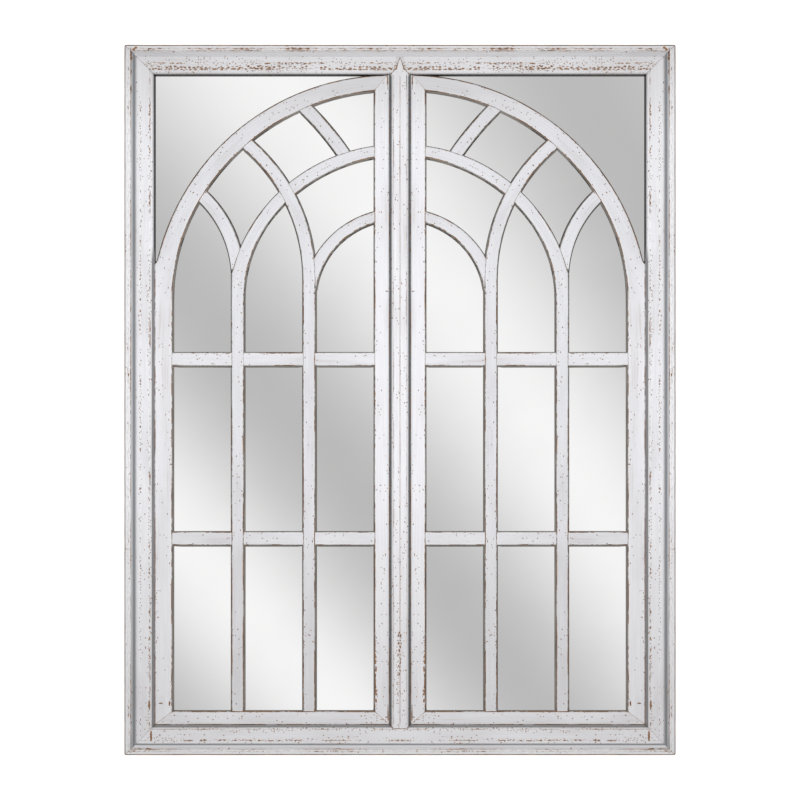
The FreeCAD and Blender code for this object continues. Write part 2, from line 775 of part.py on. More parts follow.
tracery_bar(
    "left_outer_rib",
    [Meeting(rib_a.inside, second_out, highest=False), Meeting(rib_a.outside, second_out),
     Meeting(rib_a.outside, main_in.high), Meeting(rib_a.inside, main_in.high)],
    [(second_out, RIGHT), (rib_a.outside, LEFT), (main_in.high, LEFT), (rib_a.inside, RIGHT)],
    worn=[1])

tracery_bar(
    "left_short_rib",
    [Meeting(rib_e.outside, second_out), Meeting(rib_e.outside, main_in.high),
     Meeting(rib_e.inside, main_in.high), Meeting(rib_e.inside, second_out)],
    [(rib_e.outside, LEFT), (main_in.high, LEFT), (rib_e.inside, RIGHT), (second_out, RIGHT)],
    worn=[0, 2])


def cross_bars(name, middle_up):
    """Three short bars in one row, between the stiles and the muntins."""
    body = new_body(name)
    outline = new_sketch(body, name + "_outline", depth=ledge)
    half = dim("cross_bar") / 2
    first = box_points((stile_edge, middle_up - half), (stile_edge + bay, middle_up + half))
    items = polygon(outline, first)
    block = pad(body, outline, dim("leaf_thickness"))
    eased = soften(body, outline, block, [items[0], items[2]], leaf_front, dim("arris"))
    row = body.newObject("PartDesign::LinearPattern", name + "_row")
    row.Originals = [block, eased]
    row.Direction = (plane_of(body, "X_Axis"), [""])
    row.Mode = "Spacing"
    row.Offset = pitch.now
    row.setExpression("Offset", pitch.formula)
    row.Occurrences = BAYS
    body.Tip = row
    keep(body, mirror_copy(body, name.replace("left_", "right_")))


upper_bar = arch_level - dim("upper_bar_drop")
upper_bar_under = upper_bar - dim("cross_bar") / 2
cross_bars("left_upper_cross_bars", upper_bar)
cross_bars("left_lower_cross_bars", (upper_bar_under + sill_top) / 2)

# ---------------------------------------------------------------- hangers on the back

wire = dim("ring_wire")
eye_inside = wire + dim("ring_run")
eye_outside = eye_inside + dim("strap_thickness")


def place_at(piece, across, out, up, lean=None):
    """Puts a hanger piece on the back of a stile, tied to the sheet."""
    turn = FreeCAD.Rotation(FreeCAD.Vector(1, 0, 0), lean.now if lean else 0)
    piece.Placement = FreeCAD.Placement(FreeCAD.Vector(across.now, out.now, up.now), turn)
    for key, size in (("x", across), ("y", out), ("z", up)):
        piece.setExpression("Placement.Base." + key, size.formula)
    if lean:
        piece.setExpression("Placement.Rotation.Angle", lean.formula)


def hanger_strap(name):
    """A steel strap curled round the ring's bar. The ring's axis runs through its origin."""
    body = new_body(name)
    length = dim("strap_length")
    end = -dim("eye_end")
    section = new_sketch(body, name + "_section", "YZ_Plane")
    outer, inner = Ring(ZERO, ZERO, eye_outside), Ring(ZERO, ZERO, eye_inside)
    crown_out, crown_in = Corner(ZERO, eye_outside), Corner(ZERO, eye_inside)
    draw(section,
         [Corner(-eye_outside, -length), Corner(-eye_outside, ZERO), crown_out,
          Corner(eye_outside * cosine(end), eye_outside * sine(end)),
          Corner(eye_inside * cosine(end), eye_inside * sine(end)), crown_in,
          Corner(-eye_inside, ZERO), Corner(-eye_inside, -length)],
         [None, (outer, RIGHT), (outer, RIGHT), None, (inner, LEFT), (inner, LEFT), None, None])
    strip = pad(body, section, dim("strap_width"), side="Symmetric")
    doc.recompute()
    lower_corners = edges_where(
        strip.Shape,
        lambda edge: edge.BoundBox.DiagonalLength - edge.BoundBox.YLength < TOUCH
        and middle(edge).z < TOUCH - length.now)
    dress(body, "Fillet", strip, lower_corners, dim("strap_round"), "Radius")
    holes = new_sketch(body, name + "_holes")
    for drop in screw_drops:
        draw_disc(holes, ZERO, -drop, dim("strap_hole"))
    pocket(body, holes, side="Symmetric")
    return body


def hanger_ring(name):
    """A D of round wire. Its straight bar lies on the X axis."""
    body = new_body(name)
    half = dim("ring_half")
    corner = dim("ring_corner")
    leg = dim("ring_leg")
    path = new_sketch(body, name + "_path")
    upper_right, upper_left = Ring(half - corner, -corner, corner), Ring(corner - half, -corner, corner)
    bow = Ring(ZERO, -leg, half)
    draw(path,
         [Corner(ZERO, ZERO), Corner(half - corner, ZERO), Corner(half, -corner), Corner(half, -leg),
          Corner(ZERO, -leg - half), Corner(-half, -leg), Corner(-half, -corner),
          Corner(corner - half, ZERO)],
         [None, (upper_right, RIGHT), None, (bow, RIGHT), (bow, RIGHT), None, (upper_left, RIGHT), None])
    section = new_sketch(body, name + "_section", "YZ_Plane")
    draw_disc(section, ZERO, ZERO, wire)
    sweep = body.newObject("PartDesign::AdditivePipe", name + "_sweep")
    sweep.Profile = section
    sweep.Spine = path
    return body


def hanger_screws(name):
    """Two pan head screws. The underside of the upper head lies at the origin."""
    body = new_body(name)
    shank, head = dim("screw_shank"), dim("screw_head")
    rim, dome = dim("screw_rim"), dim("screw_dome")
    reach = dim("screw_length") + dim("strap_thickness")
    dome_radius = (head * head + dome * dome) / (dome * 2)
    section = new_sketch(body, name + "_section", "XY_Plane")
    draw(section,
         [Corner(ZERO, -reach), Corner(shank, dim("screw_point") - reach), Corner(shank, ZERO),
          Corner(head, ZERO), Corner(head, rim), Corner(ZERO, rim + dome)],
         [None, None, None, None, (Ring(ZERO, rim + dome - dome_radius, dome_radius), LEFT), None])
    turned = body.newObject("PartDesign::Revolution", name + "_turned")
    turned.Profile = section
    turned.ReferenceAxis = (section, ["V_Axis"])
    turned.Angle = 360
    pair = body.newObject("PartDesign::LinearPattern", name + "_pair")
    pair.Originals = [turned]
    pair.Direction = (plane_of(body, "Z_Axis"), [""])
    pair.Reversed = True
    pair.Mode = "Spacing"
    pair.Offset = dim("screw_pitch").now
    pair.setExpression("Offset", dim("screw_pitch").formula)
    pair.Occurrences = SCREWS
    body.Tip = pair
    return body


for side_name, side in (("left", -1), ("right", 1)):
    across = hanger_across * side
    strap = hanger_strap(side_name + "_hanger_strap")
    place_at(strap, across, eye_outside, dim("hanger_height"))
    ring = hanger_ring(side_name + "_hanger_ring")
    place_at(ring, across, eye_outside, dim("hanger_height"), dim("ring_lean"))
    screws = hanger_screws(side_name + "_hanger_screws")
    place_at(screws, across, dim("strap_thickness"), dim("hanger_height") - dim("screw_first"))
    keep(strap, ring, screws)

# ---------------------------------------------------------------- check and write

doc.recompute()
faults = [f"{item.Name}: {item.State}" for item in doc.Objects
          if "Invalid" in item.State or "Error" in item.State]
for node in NODES:
    if node.Shape.isNull() or not node.Shape.isValid() or not node.Shape.Solids:
        faults.append(node.Label + ": no sound shape")
if faults:
    raise RuntimeError("; ".join(faults))

os.makedirs("parts", exist_ok=True)
for node in NODES:
    node.Shape.exportStep(os.path.join("parts", node.Label + ".step"))
    print(f"{node.Label}: {len(node.Shape.Solids)} solid(s), {node.Shape.Volume / 1000:.1f} cm3")
print(len(NODES), "nodes")
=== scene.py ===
# %% [markdown]
# A large wall mirror whose moulded frame holds two painted window leaves over mirror glass. The tracery
# on the leaves draws a round arch. The construction model gives every piece its shape and its place, so
# it is loaded first. What it lacks is the life of the surfaces: rubbed paint, worn arrises, silvering.

# %% Load the construction model
from math import atan, atan2, hypot, radians, tau

import bmesh
import bpy
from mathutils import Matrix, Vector, noise
from numpy import interp


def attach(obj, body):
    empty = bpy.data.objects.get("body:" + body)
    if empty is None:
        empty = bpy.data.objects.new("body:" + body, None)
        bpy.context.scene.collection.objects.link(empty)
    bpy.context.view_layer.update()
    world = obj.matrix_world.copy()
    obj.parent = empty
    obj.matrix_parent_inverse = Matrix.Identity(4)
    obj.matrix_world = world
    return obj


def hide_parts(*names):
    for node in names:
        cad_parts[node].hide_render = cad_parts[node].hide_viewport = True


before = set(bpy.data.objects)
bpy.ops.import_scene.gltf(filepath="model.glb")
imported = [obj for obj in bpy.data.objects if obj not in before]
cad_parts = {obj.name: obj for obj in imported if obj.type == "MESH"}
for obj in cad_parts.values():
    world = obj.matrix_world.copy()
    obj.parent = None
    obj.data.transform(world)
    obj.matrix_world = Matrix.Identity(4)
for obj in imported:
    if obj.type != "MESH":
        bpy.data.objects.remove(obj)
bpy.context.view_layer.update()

# %% [markdown]
# The object was photographed straight on and from far away, with almost no perspective. A long camera
# 4.5 m in front of the back plane gives that. Its field of view is set so that the front of the frame,
# 900 mm wide, fills the same share of a square picture as in the photograph.

# %% Camera
MM = 0.001
CAMERA_AWAY = 4500 * MM
FRAME_FRONT = 30 * MM
VIEW_WIDTH = 1304.8 * MM        # what the picture spans at the front of the frame

camera = bpy.data.objects.new("camera", bpy.data.cameras.new("camera"))
bpy.context.scene.collection.objects.link(camera)
camera.location = (0, -CAMERA_AWAY, 0)
camera.rotation_euler = (radians(90), 0, 0)
camera.data.sensor_fit = "HORIZONTAL"
camera.data.angle = 2 * atan(VIEW_WIDTH / 2 / (CAMERA_AWAY - FRAME_FRONT))
bpy.context.scene.camera = camera
bpy.context.scene.view_settings.view_transform = "Standard"
print("camera angle", round(camera.data.angle, 4))

# %% [markdown]
# Materials and the room are built from nodes. One small function adds a node, gives it its settings and
# links its sockets. Colours are written as sRGB hex values, as a paint chart gives them, and one
# function turns them to the linear values that the renderer adds up. In a Mix node of colours the
# sockets 6 and 7 are the two colours, and socket 0 is the share of the second one. A MapRange node
# takes a value, the range that it comes from (1 and 2) and the range that it goes to (3 and 4).

# %% Helpers for nodes and colours
SOFT = {"interpolation_type": "SMOOTHSTEP"}     # a MapRange node that eases in and out


def linear(hex_colour):
    """An sRGB colour such as #E8E8EC as linear red, green, blue and alpha."""
    parts = [int(hex_colour[i:i + 2], 16) / 255 for i in (1, 3, 5)]
    return [p / 12.92 if p <= 0.04045 else ((p + 0.055) / 1.055) ** 2.4 for p in parts] + [1]


def add(tree, kind, inputs=None, **settings):
    """Adds a node. An input takes a number, a colour, a socket, or a node for its first live output."""
    made = tree.nodes.new("ShaderNode" + kind)
    for name, value in settings.items():
        setattr(made, name, value)
    for socket, value in (inputs or {}).items():
        if isinstance(value, bpy.types.Node):
            value = next(output for output in value.outputs if output.enabled)
        if isinstance(value, bpy.types.NodeSocket):
            tree.links.new(value, made.inputs[socket])
        else:
            made.inputs[socket].default_value = value
    return made


def new_material(name):
    """An empty node material, its tree and its Principled shader."""
    made = bpy.data.materials.new(name)
    made.use_nodes = True
    return made, made.node_tree, made.node_tree.nodes["Principled BSDF"]


print("middle grey in linear light", [round(part, 3) for part in linear("#808080")])

# %% [markdown]
# A mirror shows the room. In the photograph a soft diagonal band of light and shade runs over both
# leaves in one piece, so it is no paint on the glass but the reflection of a softly lit studio behind
# the camera. A picture could be wrapped round the scene. A few sums on the direction of each ray do
# the same and stay sharp. The glass sends a ray from the camera back with the slope that it came with,
# so the slope tells how far across and up from the middle the ray met the glass.

# %% Where a ray met the glass
GLASS_FRONT = 11 * MM
LEAST_AHEAD = 0.05              # keeps the division finite for rays that don't go to the camera's side

world = bpy.data.worlds.new("studio")
bpy.context.scene.world = world
world.use_nodes = True
room = world.node_tree
room.nodes.clear()
to_right, to_back, to_top = add(room, "SeparateXYZ", {0: add(room, "TexCoord").outputs["Generated"]}).outputs
ahead = add(room, "Math", {0: to_back, 1: -1}, operation="MULTIPLY")
ahead = add(room, "Math", {0: ahead, 1: LEAST_AHEAD}, operation="MAXIMUM")
reach = CAMERA_AWAY - GLASS_FRONT
across = add(room, "Math", {0: to_right, 1: ahead}, operation="DIVIDE")
across = add(room, "Math", {0: across, 1: reach}, operation="MULTIPLY")
up = add(room, "Math", {0: to_top, 1: ahead}, operation="DIVIDE")
up = add(room, "Math", {0: up, 1: reach}, operation="MULTIPLY")
print("from the glass to the camera", round(reach, 3))

# %% [markdown]
# The bands are a cosine wave whose crests lean to one side and bend a little. Its phase is a short sum
# of the distances across and up, and its tone swings round a light grey. The silver takes away some
# light, so the bands are made that much brighter.

# %% Bands of light
BAND_LEVEL, BAND_SWING = 216.1, 29.4    # sRGB tone of the bands and how far they swing
BAND_START = 1.565                      # phase in the middle, in radians
SILVER_REFLECTS = 0.93

phase = BAND_START
for first, second, slope in (           # radians per metre, and per square metre for the products
        (across, 1, 7.99), (up, 1, 6.38), (across, across, 0.095), (across, up, -3.05), (up, up, -1.92)):
    product = add(room, "Math", {0: first, 1: second}, operation="MULTIPLY")
    phase = add(room, "Math", {0: product, 1: slope, 2: phase}, operation="MULTIPLY_ADD")
wave = add(room, "Math", {0: phase}, operation="COSINE")
tone = add(room, "Math", {0: wave, 1: -BAND_SWING / 255, 2: BAND_LEVEL / 255}, operation="MULTIPLY_ADD")
tone = add(room, "Math", {0: tone, 1: 0.055}, operation="ADD")          # from sRGB to linear light
tone = add(room, "Math", {0: tone, 1: 1.055}, operation="DIVIDE")
tone = add(room, "Math", {0: tone, 1: 2.4}, operation="POWER")
band = add(room, "Math", {0: tone, 1: SILVER_REFLECTS}, operation="DIVIDE")
print("room bands from", BAND_LEVEL - BAND_SWING, "to", BAND_LEVEL + BAND_SWING)

# %% [markdown]
# Round the bands the room is plain grey, darker at the sides, and it has a bright wall on the far side
# that lights the back of the mirror. The camera itself looks at a white backdrop, as in the photograph.

# %% Room round the bands
aside = add(room, "CombineXYZ", {0: across, 1: up})
aside = add(room, "VectorMath", {0: aside}, operation="LENGTH")
in_window = add(room, "MapRange", {0: aside, 1: 0.8, 2: 2.2, 3: 1, 4: 0}, **SOFT)
plain = add(room, "MapRange", {0: to_top, 1: -0.7, 2: 0.9, 3: 0.42, 4: 0.55}, **SOFT)
sideways = add(room, "Math", {0: to_right}, operation="ABSOLUTE")
sideways = add(room, "MapRange", {0: sideways, 1: 0.3, 2: 0.95, 3: 1, 4: 0.35}, **SOFT)
far_wall = add(room, "MapRange", {0: to_back, 1: 0.05, 2: 0.7, 3: 0, 4: 0.75}, **SOFT)
plain = add(room, "Math", {0: plain, 1: sideways, 2: far_wall}, operation="MULTIPLY_ADD")
change = add(room, "Math", {0: band, 1: plain}, operation="SUBTRACT")
light = add(room, "Math", {0: change, 1: in_window, 2: plain}, operation="MULTIPLY_ADD")
seen = add(room, "LightPath").outputs["Is Camera Ray"]
light = add(room, "Math", {0: light, 1: seen}, operation="MAXIMUM")
add(room, "OutputWorld", {0: add(room, "Background", {"Color": light, "Strength": 1})})
print("room nodes", len(room.nodes))

# %% [markdown]
# The paint is lit by one large soft lamp in front, a little above the middle, which makes the corners
# and the foot of the frame darker than the middle, as in the photograph. The lamp doesn't show in the
# mirror, because it would cover the bands. The mirror hangs on a wall, so the pale floor lies
# well below it.

# %% Lamp and floor
LAMP_SIDE, LAMP_POWER = 1.2, 20.5       # metres and watts
LAMP_PLACE, LAMP_AIM = Vector((0, -1.6, 0.2)), Vector((0, 0, 0.15))
FLOOR_LEVEL, FLOOR_RADIUS = -1.3, 3     # metres

lamp = bpy.data.objects.new("softbox", bpy.data.lights.new("softbox", "AREA"))
bpy.context.scene.collection.objects.link(lamp)
lamp.data.energy = LAMP_POWER
lamp.data.size = LAMP_SIDE
lamp.location = LAMP_PLACE
lamp.rotation_euler = (LAMP_AIM - LAMP_PLACE).to_track_quat("-Z", "Y").to_euler()
lamp.visible_glossy = False
lamp.visible_camera = False

ground = bmesh.new()
bmesh.ops.create_circle(ground, cap_ends=True, segments=96, radius=FLOOR_RADIUS)
bmesh.ops.translate(ground, vec=(0, 0, FLOOR_LEVEL), verts=ground.verts)
floor_mesh = bpy.data.meshes.new("floor")
ground.to_mesh(floor_mesh)
floor = bpy.data.objects.new("floor", floor_mesh)
bpy.context.scene.collection.objects.link(floor)
floor_paint, _, shader = new_material("pale_matt_floor_paint")
shader.inputs["Base Color"].default_value = linear("#E6E6E4")
shader.inputs["Roughness"].default_value = 0.8
floor_mesh.materials.append(floor_paint)
print("floor at", FLOOR_LEVEL)

# %% [markdown]
# The frame and the leaves are pine, stained brown, brushed with a chalky matt off-white and rubbed
# back, so that brown shows on the arrises, in rows of small worm holes and in a few chips. The finish
# could be one flat white with a picture of wear. Here it is made as the real one is: a wood colour, a
# paint colour over it, and masks that say where the paint is gone. Shade is painted in on top: a
# blue-grey painted shade in the hollows and over some bars, and a dark painted shade in the crevices.
# Two things on the mesh steer it all: the map "grain", in metres along and across each bar, and four
# numbers on its points, one for the wear on an arris, one for each painted shade, and one for the worm
# holes.

# %% Streaks along the grain
BRUSH_LENGTH, BRUSH_WIDTH = 90, 2.2     # mm, a furrow that a bristle leaves


def streaks(tree, length, width, detail, seed=0):
    """Soft noise drawn out along the grain; length and width are in millimetres."""
    grain = add(tree, "UVMap", uv_map="grain")
    drawn = add(tree, "Mapping", {0: grain, 1: (seed, seed * 0.7, 0), 3: (1000 / length, 1000 / width, 1)})
    return add(tree, "TexNoise", {"Vector": drawn, "Scale": 1, "Detail": detail}, noise_dimensions="2D")


print("brush furrows", BRUSH_WIDTH, "mm wide")

# %% [markdown]
# Worms leave holes about a millimetre wide, in crowds and rows. A Voronoi pattern scatters one dot in
# each cell, and a cell keeps its dot only where the crowd is dense enough. The larger dots are places
# where the paint broke away round a hole. They stand only where the number "holes" is strong.

# %% Worm holes
HOLE_STRETCH = 1.5              # a hole is cut along the fibres, so it is longer than it is wide
CROWD_LENGTH, CROWD_WIDTH = 110, 16     # mm, how far a crowd of holes reaches along and across
WORM_HOLES = [                  # mm from hole to hole, mm wide, seed, and least strength of "holes"
    (3.2, 1.15, 2, 0), (5.4, 1.5, 9, 0), (4.2, 2.7, 15, 0.7)]


def worm_holes(tree, apart, wide, seed, least):
    """1 inside small holes that lie along the grain, and 0 outside; apart and wide in millimetres."""
    grain = add(tree, "UVMap", uv_map="grain")
    drawn = add(tree, "Mapping", {0: grain, 1: (seed, seed, 0),
                                  3: (1000 / apart / HOLE_STRETCH, 1000 / apart, 1)})
    cells = add(tree, "TexVoronoi", {"Vector": drawn, "Scale": 1, "Randomness": 0.8},
                voronoi_dimensions="2D").outputs
    edge, core = wide / apart * 0.8, wide / apart * 0.3
    inside = add(tree, "MapRange", {0: cells["Distance"], 1: edge, 2: core}, **SOFT)
    lot = add(tree, "SeparateColor", {0: cells["Color"]})
    crowd = streaks(tree, CROWD_LENGTH, CROWD_WIDTH, 2, seed + 5)
    crowd = add(tree, "MapRange", {0: crowd, 1: 0.4, 2: 0.66}, **SOFT)
    many = add(tree, "Attribute", attribute_name="holes").outputs["Fac"]
    many = add(tree, "Math", {0: many, 1: least}, operation="SUBTRACT")
    chance = add(tree, "Math", {0: crowd, 1: many}, operation="MULTIPLY")
    kept = add(tree, "Math", {0: lot, 1: chance}, operation="LESS_THAN")
    return add(tree, "Math", {0: inside, 1: kept}, operation="MULTIPLY")


print("sizes of worm holes", len(WORM_HOLES))

# %% [markdown]
# A few chips lie where the photograph shows them, in the same places on the left and on the right half,
# because the two halves were worn alike. Each is an ellipse on the front of the mirror with a ragged
# edge, given by its middle and its half sizes.

# %% Chips in the paint
CHIPS = [  # distance from the middle, height, half width, half height, in millimetres
    (434.6, 571.4, 2.4, 2.2), (431.6, 574.6, 2.6, 1.9), (439, 562, 1.2, 11), (439, 535, 0.9, 6),
    (439, 508, 0.9, 8), (409.4, -498, 1.7, 8), (406.5, -548.5, 1.7, 9.5), (409.5, -569.3, 6.5, 1.1),
    (391, -496, 3, 1.1), (377, -496, 1.5, 4), (19.6, -514, 0.9, 12), (40.6, -464, 1.1, 20),
    (20.4, 522, 0.9, 11)]
CHIPS_REACH_BACK = -17 * MM     # a chip on an arris goes this far round it
FAR_AWAY = 9                    # more half sizes from a chip than its ragged edge reaches


def chips(tree):
    """1 inside the chips and 0 outside, with ragged edges."""
    across, depth, height = add(tree, "SeparateXYZ", {0: add(tree, "TexCoord").outputs["Object"]}).outputs
    folded = add(tree, "Math", {0: across}, operation="ABSOLUTE")
    flat = add(tree, "CombineXYZ", {0: folded, 1: height})
    nearest = FAR_AWAY
    for x, z, half_x, half_z in CHIPS:
        away = add(tree, "VectorMath", {0: flat, 1: (x * MM, z * MM, 0)}, operation="SUBTRACT")
        away = add(tree, "VectorMath", {0: away, 1: (1000 / half_x, 1000 / half_z, 0)}, operation="MULTIPLY")
        away = add(tree, "VectorMath", {0: away}, operation="LENGTH")
        nearest = add(tree, "Math", {0: nearest, 1: away}, operation="MINIMUM")
    ragged = streaks(tree, 6, 2.2, 3, 11)
    ragged = add(tree, "Math", {0: ragged, 1: -1.7, 2: 1.85}, operation="MULTIPLY_ADD")
    margin = add(tree, "Math", {0: nearest, 1: ragged}, operation="SUBTRACT")
    chip = add(tree, "MapRange", {0: margin, 1: 0.08, 2: -0.08}, **SOFT)
    in_front = add(tree, "Math", {0: depth, 1: CHIPS_REACH_BACK}, operation="LESS_THAN")
    return add(tree, "Math", {0: chip, 1: in_front}, operation="MULTIPLY")


print("chips on each half", len(CHIPS))

# %% [markdown]
# Where two mouldings meet at a mitre, the paint cracks in a hair line as the wood dries. The four mitres
# of the frame run at 45 degrees, so on them the distance from the side equals the distance from the top.
# The crack is drawn a little wider than a real one, because it would be too fine to show.

# %% Cracks over the mitres
HALF_WIDE, HALF_HIGH = 450 * MM, 580 * MM
CRACK_CORE, CRACK_EDGE = 0.4 * MM, 0.9 * MM
INNER_END = 390 * MM            # nothing nearer to the middle lies on a mitre


def mitre_crack(tree, broken):
    """How strongly the hair crack over the four mitres of the frame shows."""
    folded = add(tree, "VectorMath", {0: add(tree, "TexCoord").outputs["Object"]}, operation="ABSOLUTE")
    across, _, height = add(tree, "SeparateXYZ", {0: folded}).outputs
    off = add(tree, "Math", {0: height, 1: across}, operation="SUBTRACT")
    off = add(tree, "Math", {0: off, 1: HALF_HIGH - HALF_WIDE}, operation="SUBTRACT")
    off = add(tree, "Math", {0: off}, operation="ABSOLUTE")
    line = add(tree, "MapRange", {0: off, 1: CRACK_EDGE, 2: CRACK_CORE})
    on_frame = add(tree, "Math", {0: across, 1: INNER_END}, operation="GREATER_THAN")
    line = add(tree, "Math", {0: line, 1: on_frame}, operation="MULTIPLY")
    open_share = add(tree, "MapRange", {0: broken, 1: 0.3, 2: 0.62, 3: 0.25, 4: 0.7})
    return add(tree, "Math", {0: line, 1: open_share}, operation="MULTIPLY")


print("on a mitre the height less the width is", round(HALF_HIGH - HALF_WIDE, 3))

# %% [markdown]
# The paint is matt and shows its brush: long shallow furrows a millimetre or two wide. It lies in
# layers. Where it is thin the stain warms it, and handled places are a dull grey. Beside a worn arris
# the paint is lighter, partly built-up paint and partly a painted highlight where the arris catches
# the light. The head and the foot are painted darker, the lower half more towards the foot, as painted
# shade, and a blue-grey painted shade lies in the hollows. Each layer is a share and a colour.

# %% Layers of matt paint
WHITE, FURROW_WHITE = "#E9E9ED", "#E1E1E6"


def matt_paint(tree, brush, wear, broken, mitred):
    """The colour of the paint where it is whole, with its painted shade and its painted highlight."""
    cloud = streaks(tree, 150, 45, 4, 3)
    cloudy = add(tree, "MapRange", {0: cloud, 1: 0.4, 2: 0.75, 3: 0, 4: 0.6}, **SOFT)
    thin = add(tree, "MapRange", {0: cloud, 1: 0.5, 2: 0.75, 3: 0, 4: 0.4}, **SOFT)
    between = add(tree, "MapRange", {0: brush, 1: 0.5, 2: 0.7}, **SOFT)
    thin = add(tree, "Math", {0: thin, 1: between}, operation="MULTIPLY")
    # Painted highlight: lighter paint beside a worn arris, partly built-up paint and partly the light that
    # the arris catches.
    rim_highlight = add(tree, "MapRange", {0: wear, 1: 0.1, 2: 0.9, 3: 0, 4: 0.6}, **SOFT)
    # Painted shade: the paint is darker towards the head and the foot, and in the lower half it darkens
    # steadily towards the foot.
    height = add(tree, "SeparateXYZ", {0: add(tree, "TexCoord").outputs["Object"]}).outputs[2]
    ends = add(tree, "Math", {0: height}, operation="ABSOLUTE")
    ends = add(tree, "MapRange", {0: ends, 1: 0.41, 2: 0.57, 3: 0, 4: 0.42}, **SOFT)
    foot = add(tree, "MapRange", {0: height, 1: -0.05, 2: -0.5, 3: 0, 4: 0.34}, **SOFT)
    end_shade = add(tree, "Math", {0: ends, 1: foot}, operation="MAXIMUM")
    handled = add(tree, "Math", {0: wear, 1: 0.6, 2: broken}, operation="MULTIPLY_ADD")
    handled = add(tree, "MapRange", {0: handled, 1: 0.85, 2: 1.3, 3: 0, 4: 0.5}, **SOFT)
    # Painted shade: a blue-grey that darkens the paint in the hollows, beside the beads and over some bars.
    painted_shade_share = add(tree, "Attribute", attribute_name="painted_shade").outputs["Fac"]

    furrow = add(tree, "MapRange", {0: brush, 1: 0.3, 2: 0.72}, **SOFT)
    paint = add(tree, "Mix", {0: furrow, 6: linear(WHITE), 7: linear(FURROW_WHITE)}, data_type="RGBA")
    layers = [(cloudy, "#D3D2D6"), (thin, "#C6B8AC"), (rim_highlight, "#F6F6F8"), (end_shade, "#B6B3B2"),
              (handled, "#A39B97")]
    if mitred:
        layers.append((mitre_crack(tree, broken), "#8D8580"))
    for share, colour in layers + [(painted_shade_share, "#52575B")]:
        paint = add(tree, "Mix", {0: share, 6: paint, 7: linear(colour)}, data_type="RGBA")
    return paint


print("white of the paint in linear light", [round(part, 3) for part in linear(WHITE)])

# %% [markdown]
# Sandpaper takes the paint off where "wear" beats the strength of the paint, which changes along the
# bar in short breaks and long stretches. Together with the chips and the worm holes that is where the
# pine shows. Rubbed pine is rougher and a little lower than the paint, so the edge of each worn place
# catches light. The two materials differ in their seed, and only the frame has mitres to crack.

# %% Matt paint rubbed back to stained pine
def where_bare(tree, wear, broken, seed):
    """1 where the paint is gone."""
    stretch = streaks(tree, 70, 30, 2, 27)
    strength = add(tree, "Math", {0: stretch, 1: 1.6}, operation="MULTIPLY")
    strength = add(tree, "Math", {0: broken, 1: 1.5, 2: strength}, operation="MULTIPLY_ADD")
    sanding = add(tree, "Math", {0: wear, 1: 1.55}, operation="MULTIPLY")
    beaten = add(tree, "Math", {0: sanding, 1: strength}, operation="SUBTRACT")
    bare = add(tree, "MapRange", {0: beaten, 1: 0.0, 2: 0.2}, **SOFT)
    bare = add(tree, "Math", {0: bare, 1: chips(tree)}, operation="MAXIMUM")
    for apart, wide, first_seed, least in WORM_HOLES:
        holes = worm_holes(tree, apart, wide, first_seed + seed, least)
        bare = add(tree, "Math", {0: bare, 1: holes}, operation="MAXIMUM")
    return bare


def painted_pine(name, seed, mitred):
    """Chalky off-white matt paint over brown stained pine, worn on the arrises, with worm holes and painted
    shade.
    """
    made, tree, shader = new_material(name)
    wear = add(tree, "Attribute", attribute_name="wear").outputs["Fac"]
    brush = streaks(tree, BRUSH_LENGTH, BRUSH_WIDTH, 4)
    broken = streaks(tree, 8, 2.0, 4, 21)
    paint = matt_paint(tree, brush, wear, broken, mitred)
    bare = where_bare(tree, wear, broken, seed)
    fibre = add(tree, "MapRange", {0: streaks(tree, 25, 0.8, 4, 7), 1: 0.32, 2: 0.68}, **SOFT)
    pine = add(tree, "Mix", {0: fibre, 6: linear("#5C3D28"), 7: linear("#A27A58")}, data_type="RGBA")
    colour = add(tree, "Mix", {0: bare, 6: paint, 7: pine}, data_type="RGBA")
    # A dark painted shade in the crevices by the glass and beside the leaves.
    crevice_shade = add(tree, "Attribute", attribute_name="crevice_shade").outputs["Fac"]
    colour = add(tree, "Mix", {0: crevice_shade, 6: colour, 7: linear("#332F2C")}, data_type="RGBA")
    rough = add(tree, "MapRange", {0: bare, 1: 0, 2: 1, 3: 0.5, 4: 0.78}, **SOFT)
    left = add(tree, "Math", {0: 1, 1: bare}, operation="SUBTRACT")
    relief = add(tree, "Math", {0: brush, 1: 0.2, 2: left}, operation="MULTIPLY_ADD")
    bump = add(tree, "Bump", {"Height": relief, "Distance": 0.25 * MM, "Strength": 0.5})
    tree.links.new(colour.outputs[2], shader.inputs["Base Color"])
    tree.links.new(rough.outputs[0], shader.inputs["Roughness"])
    tree.links.new(bump.outputs[0], shader.inputs["Normal"])
    return made


frame_paint = painted_pine("chalky_matt_paint_on_moulded_pine", 0, True)
leaf_paint = painted_pine("chalky_matt_paint_on_pine_bars", 3, False)
print("paint nodes", len(frame_paint.node_tree.nodes))

# %% [markdown]
# The brush hardly reaches the sides of the thin bars beside the glass, nor the back of the frame. There
# the stain shows bare. It is a dull wood colour with fine darker fibres along the grain, brown on the
# back of the frame and grey on the bars. On the bars it also colours the sloping skirt along the glass,
# which stands for shade.

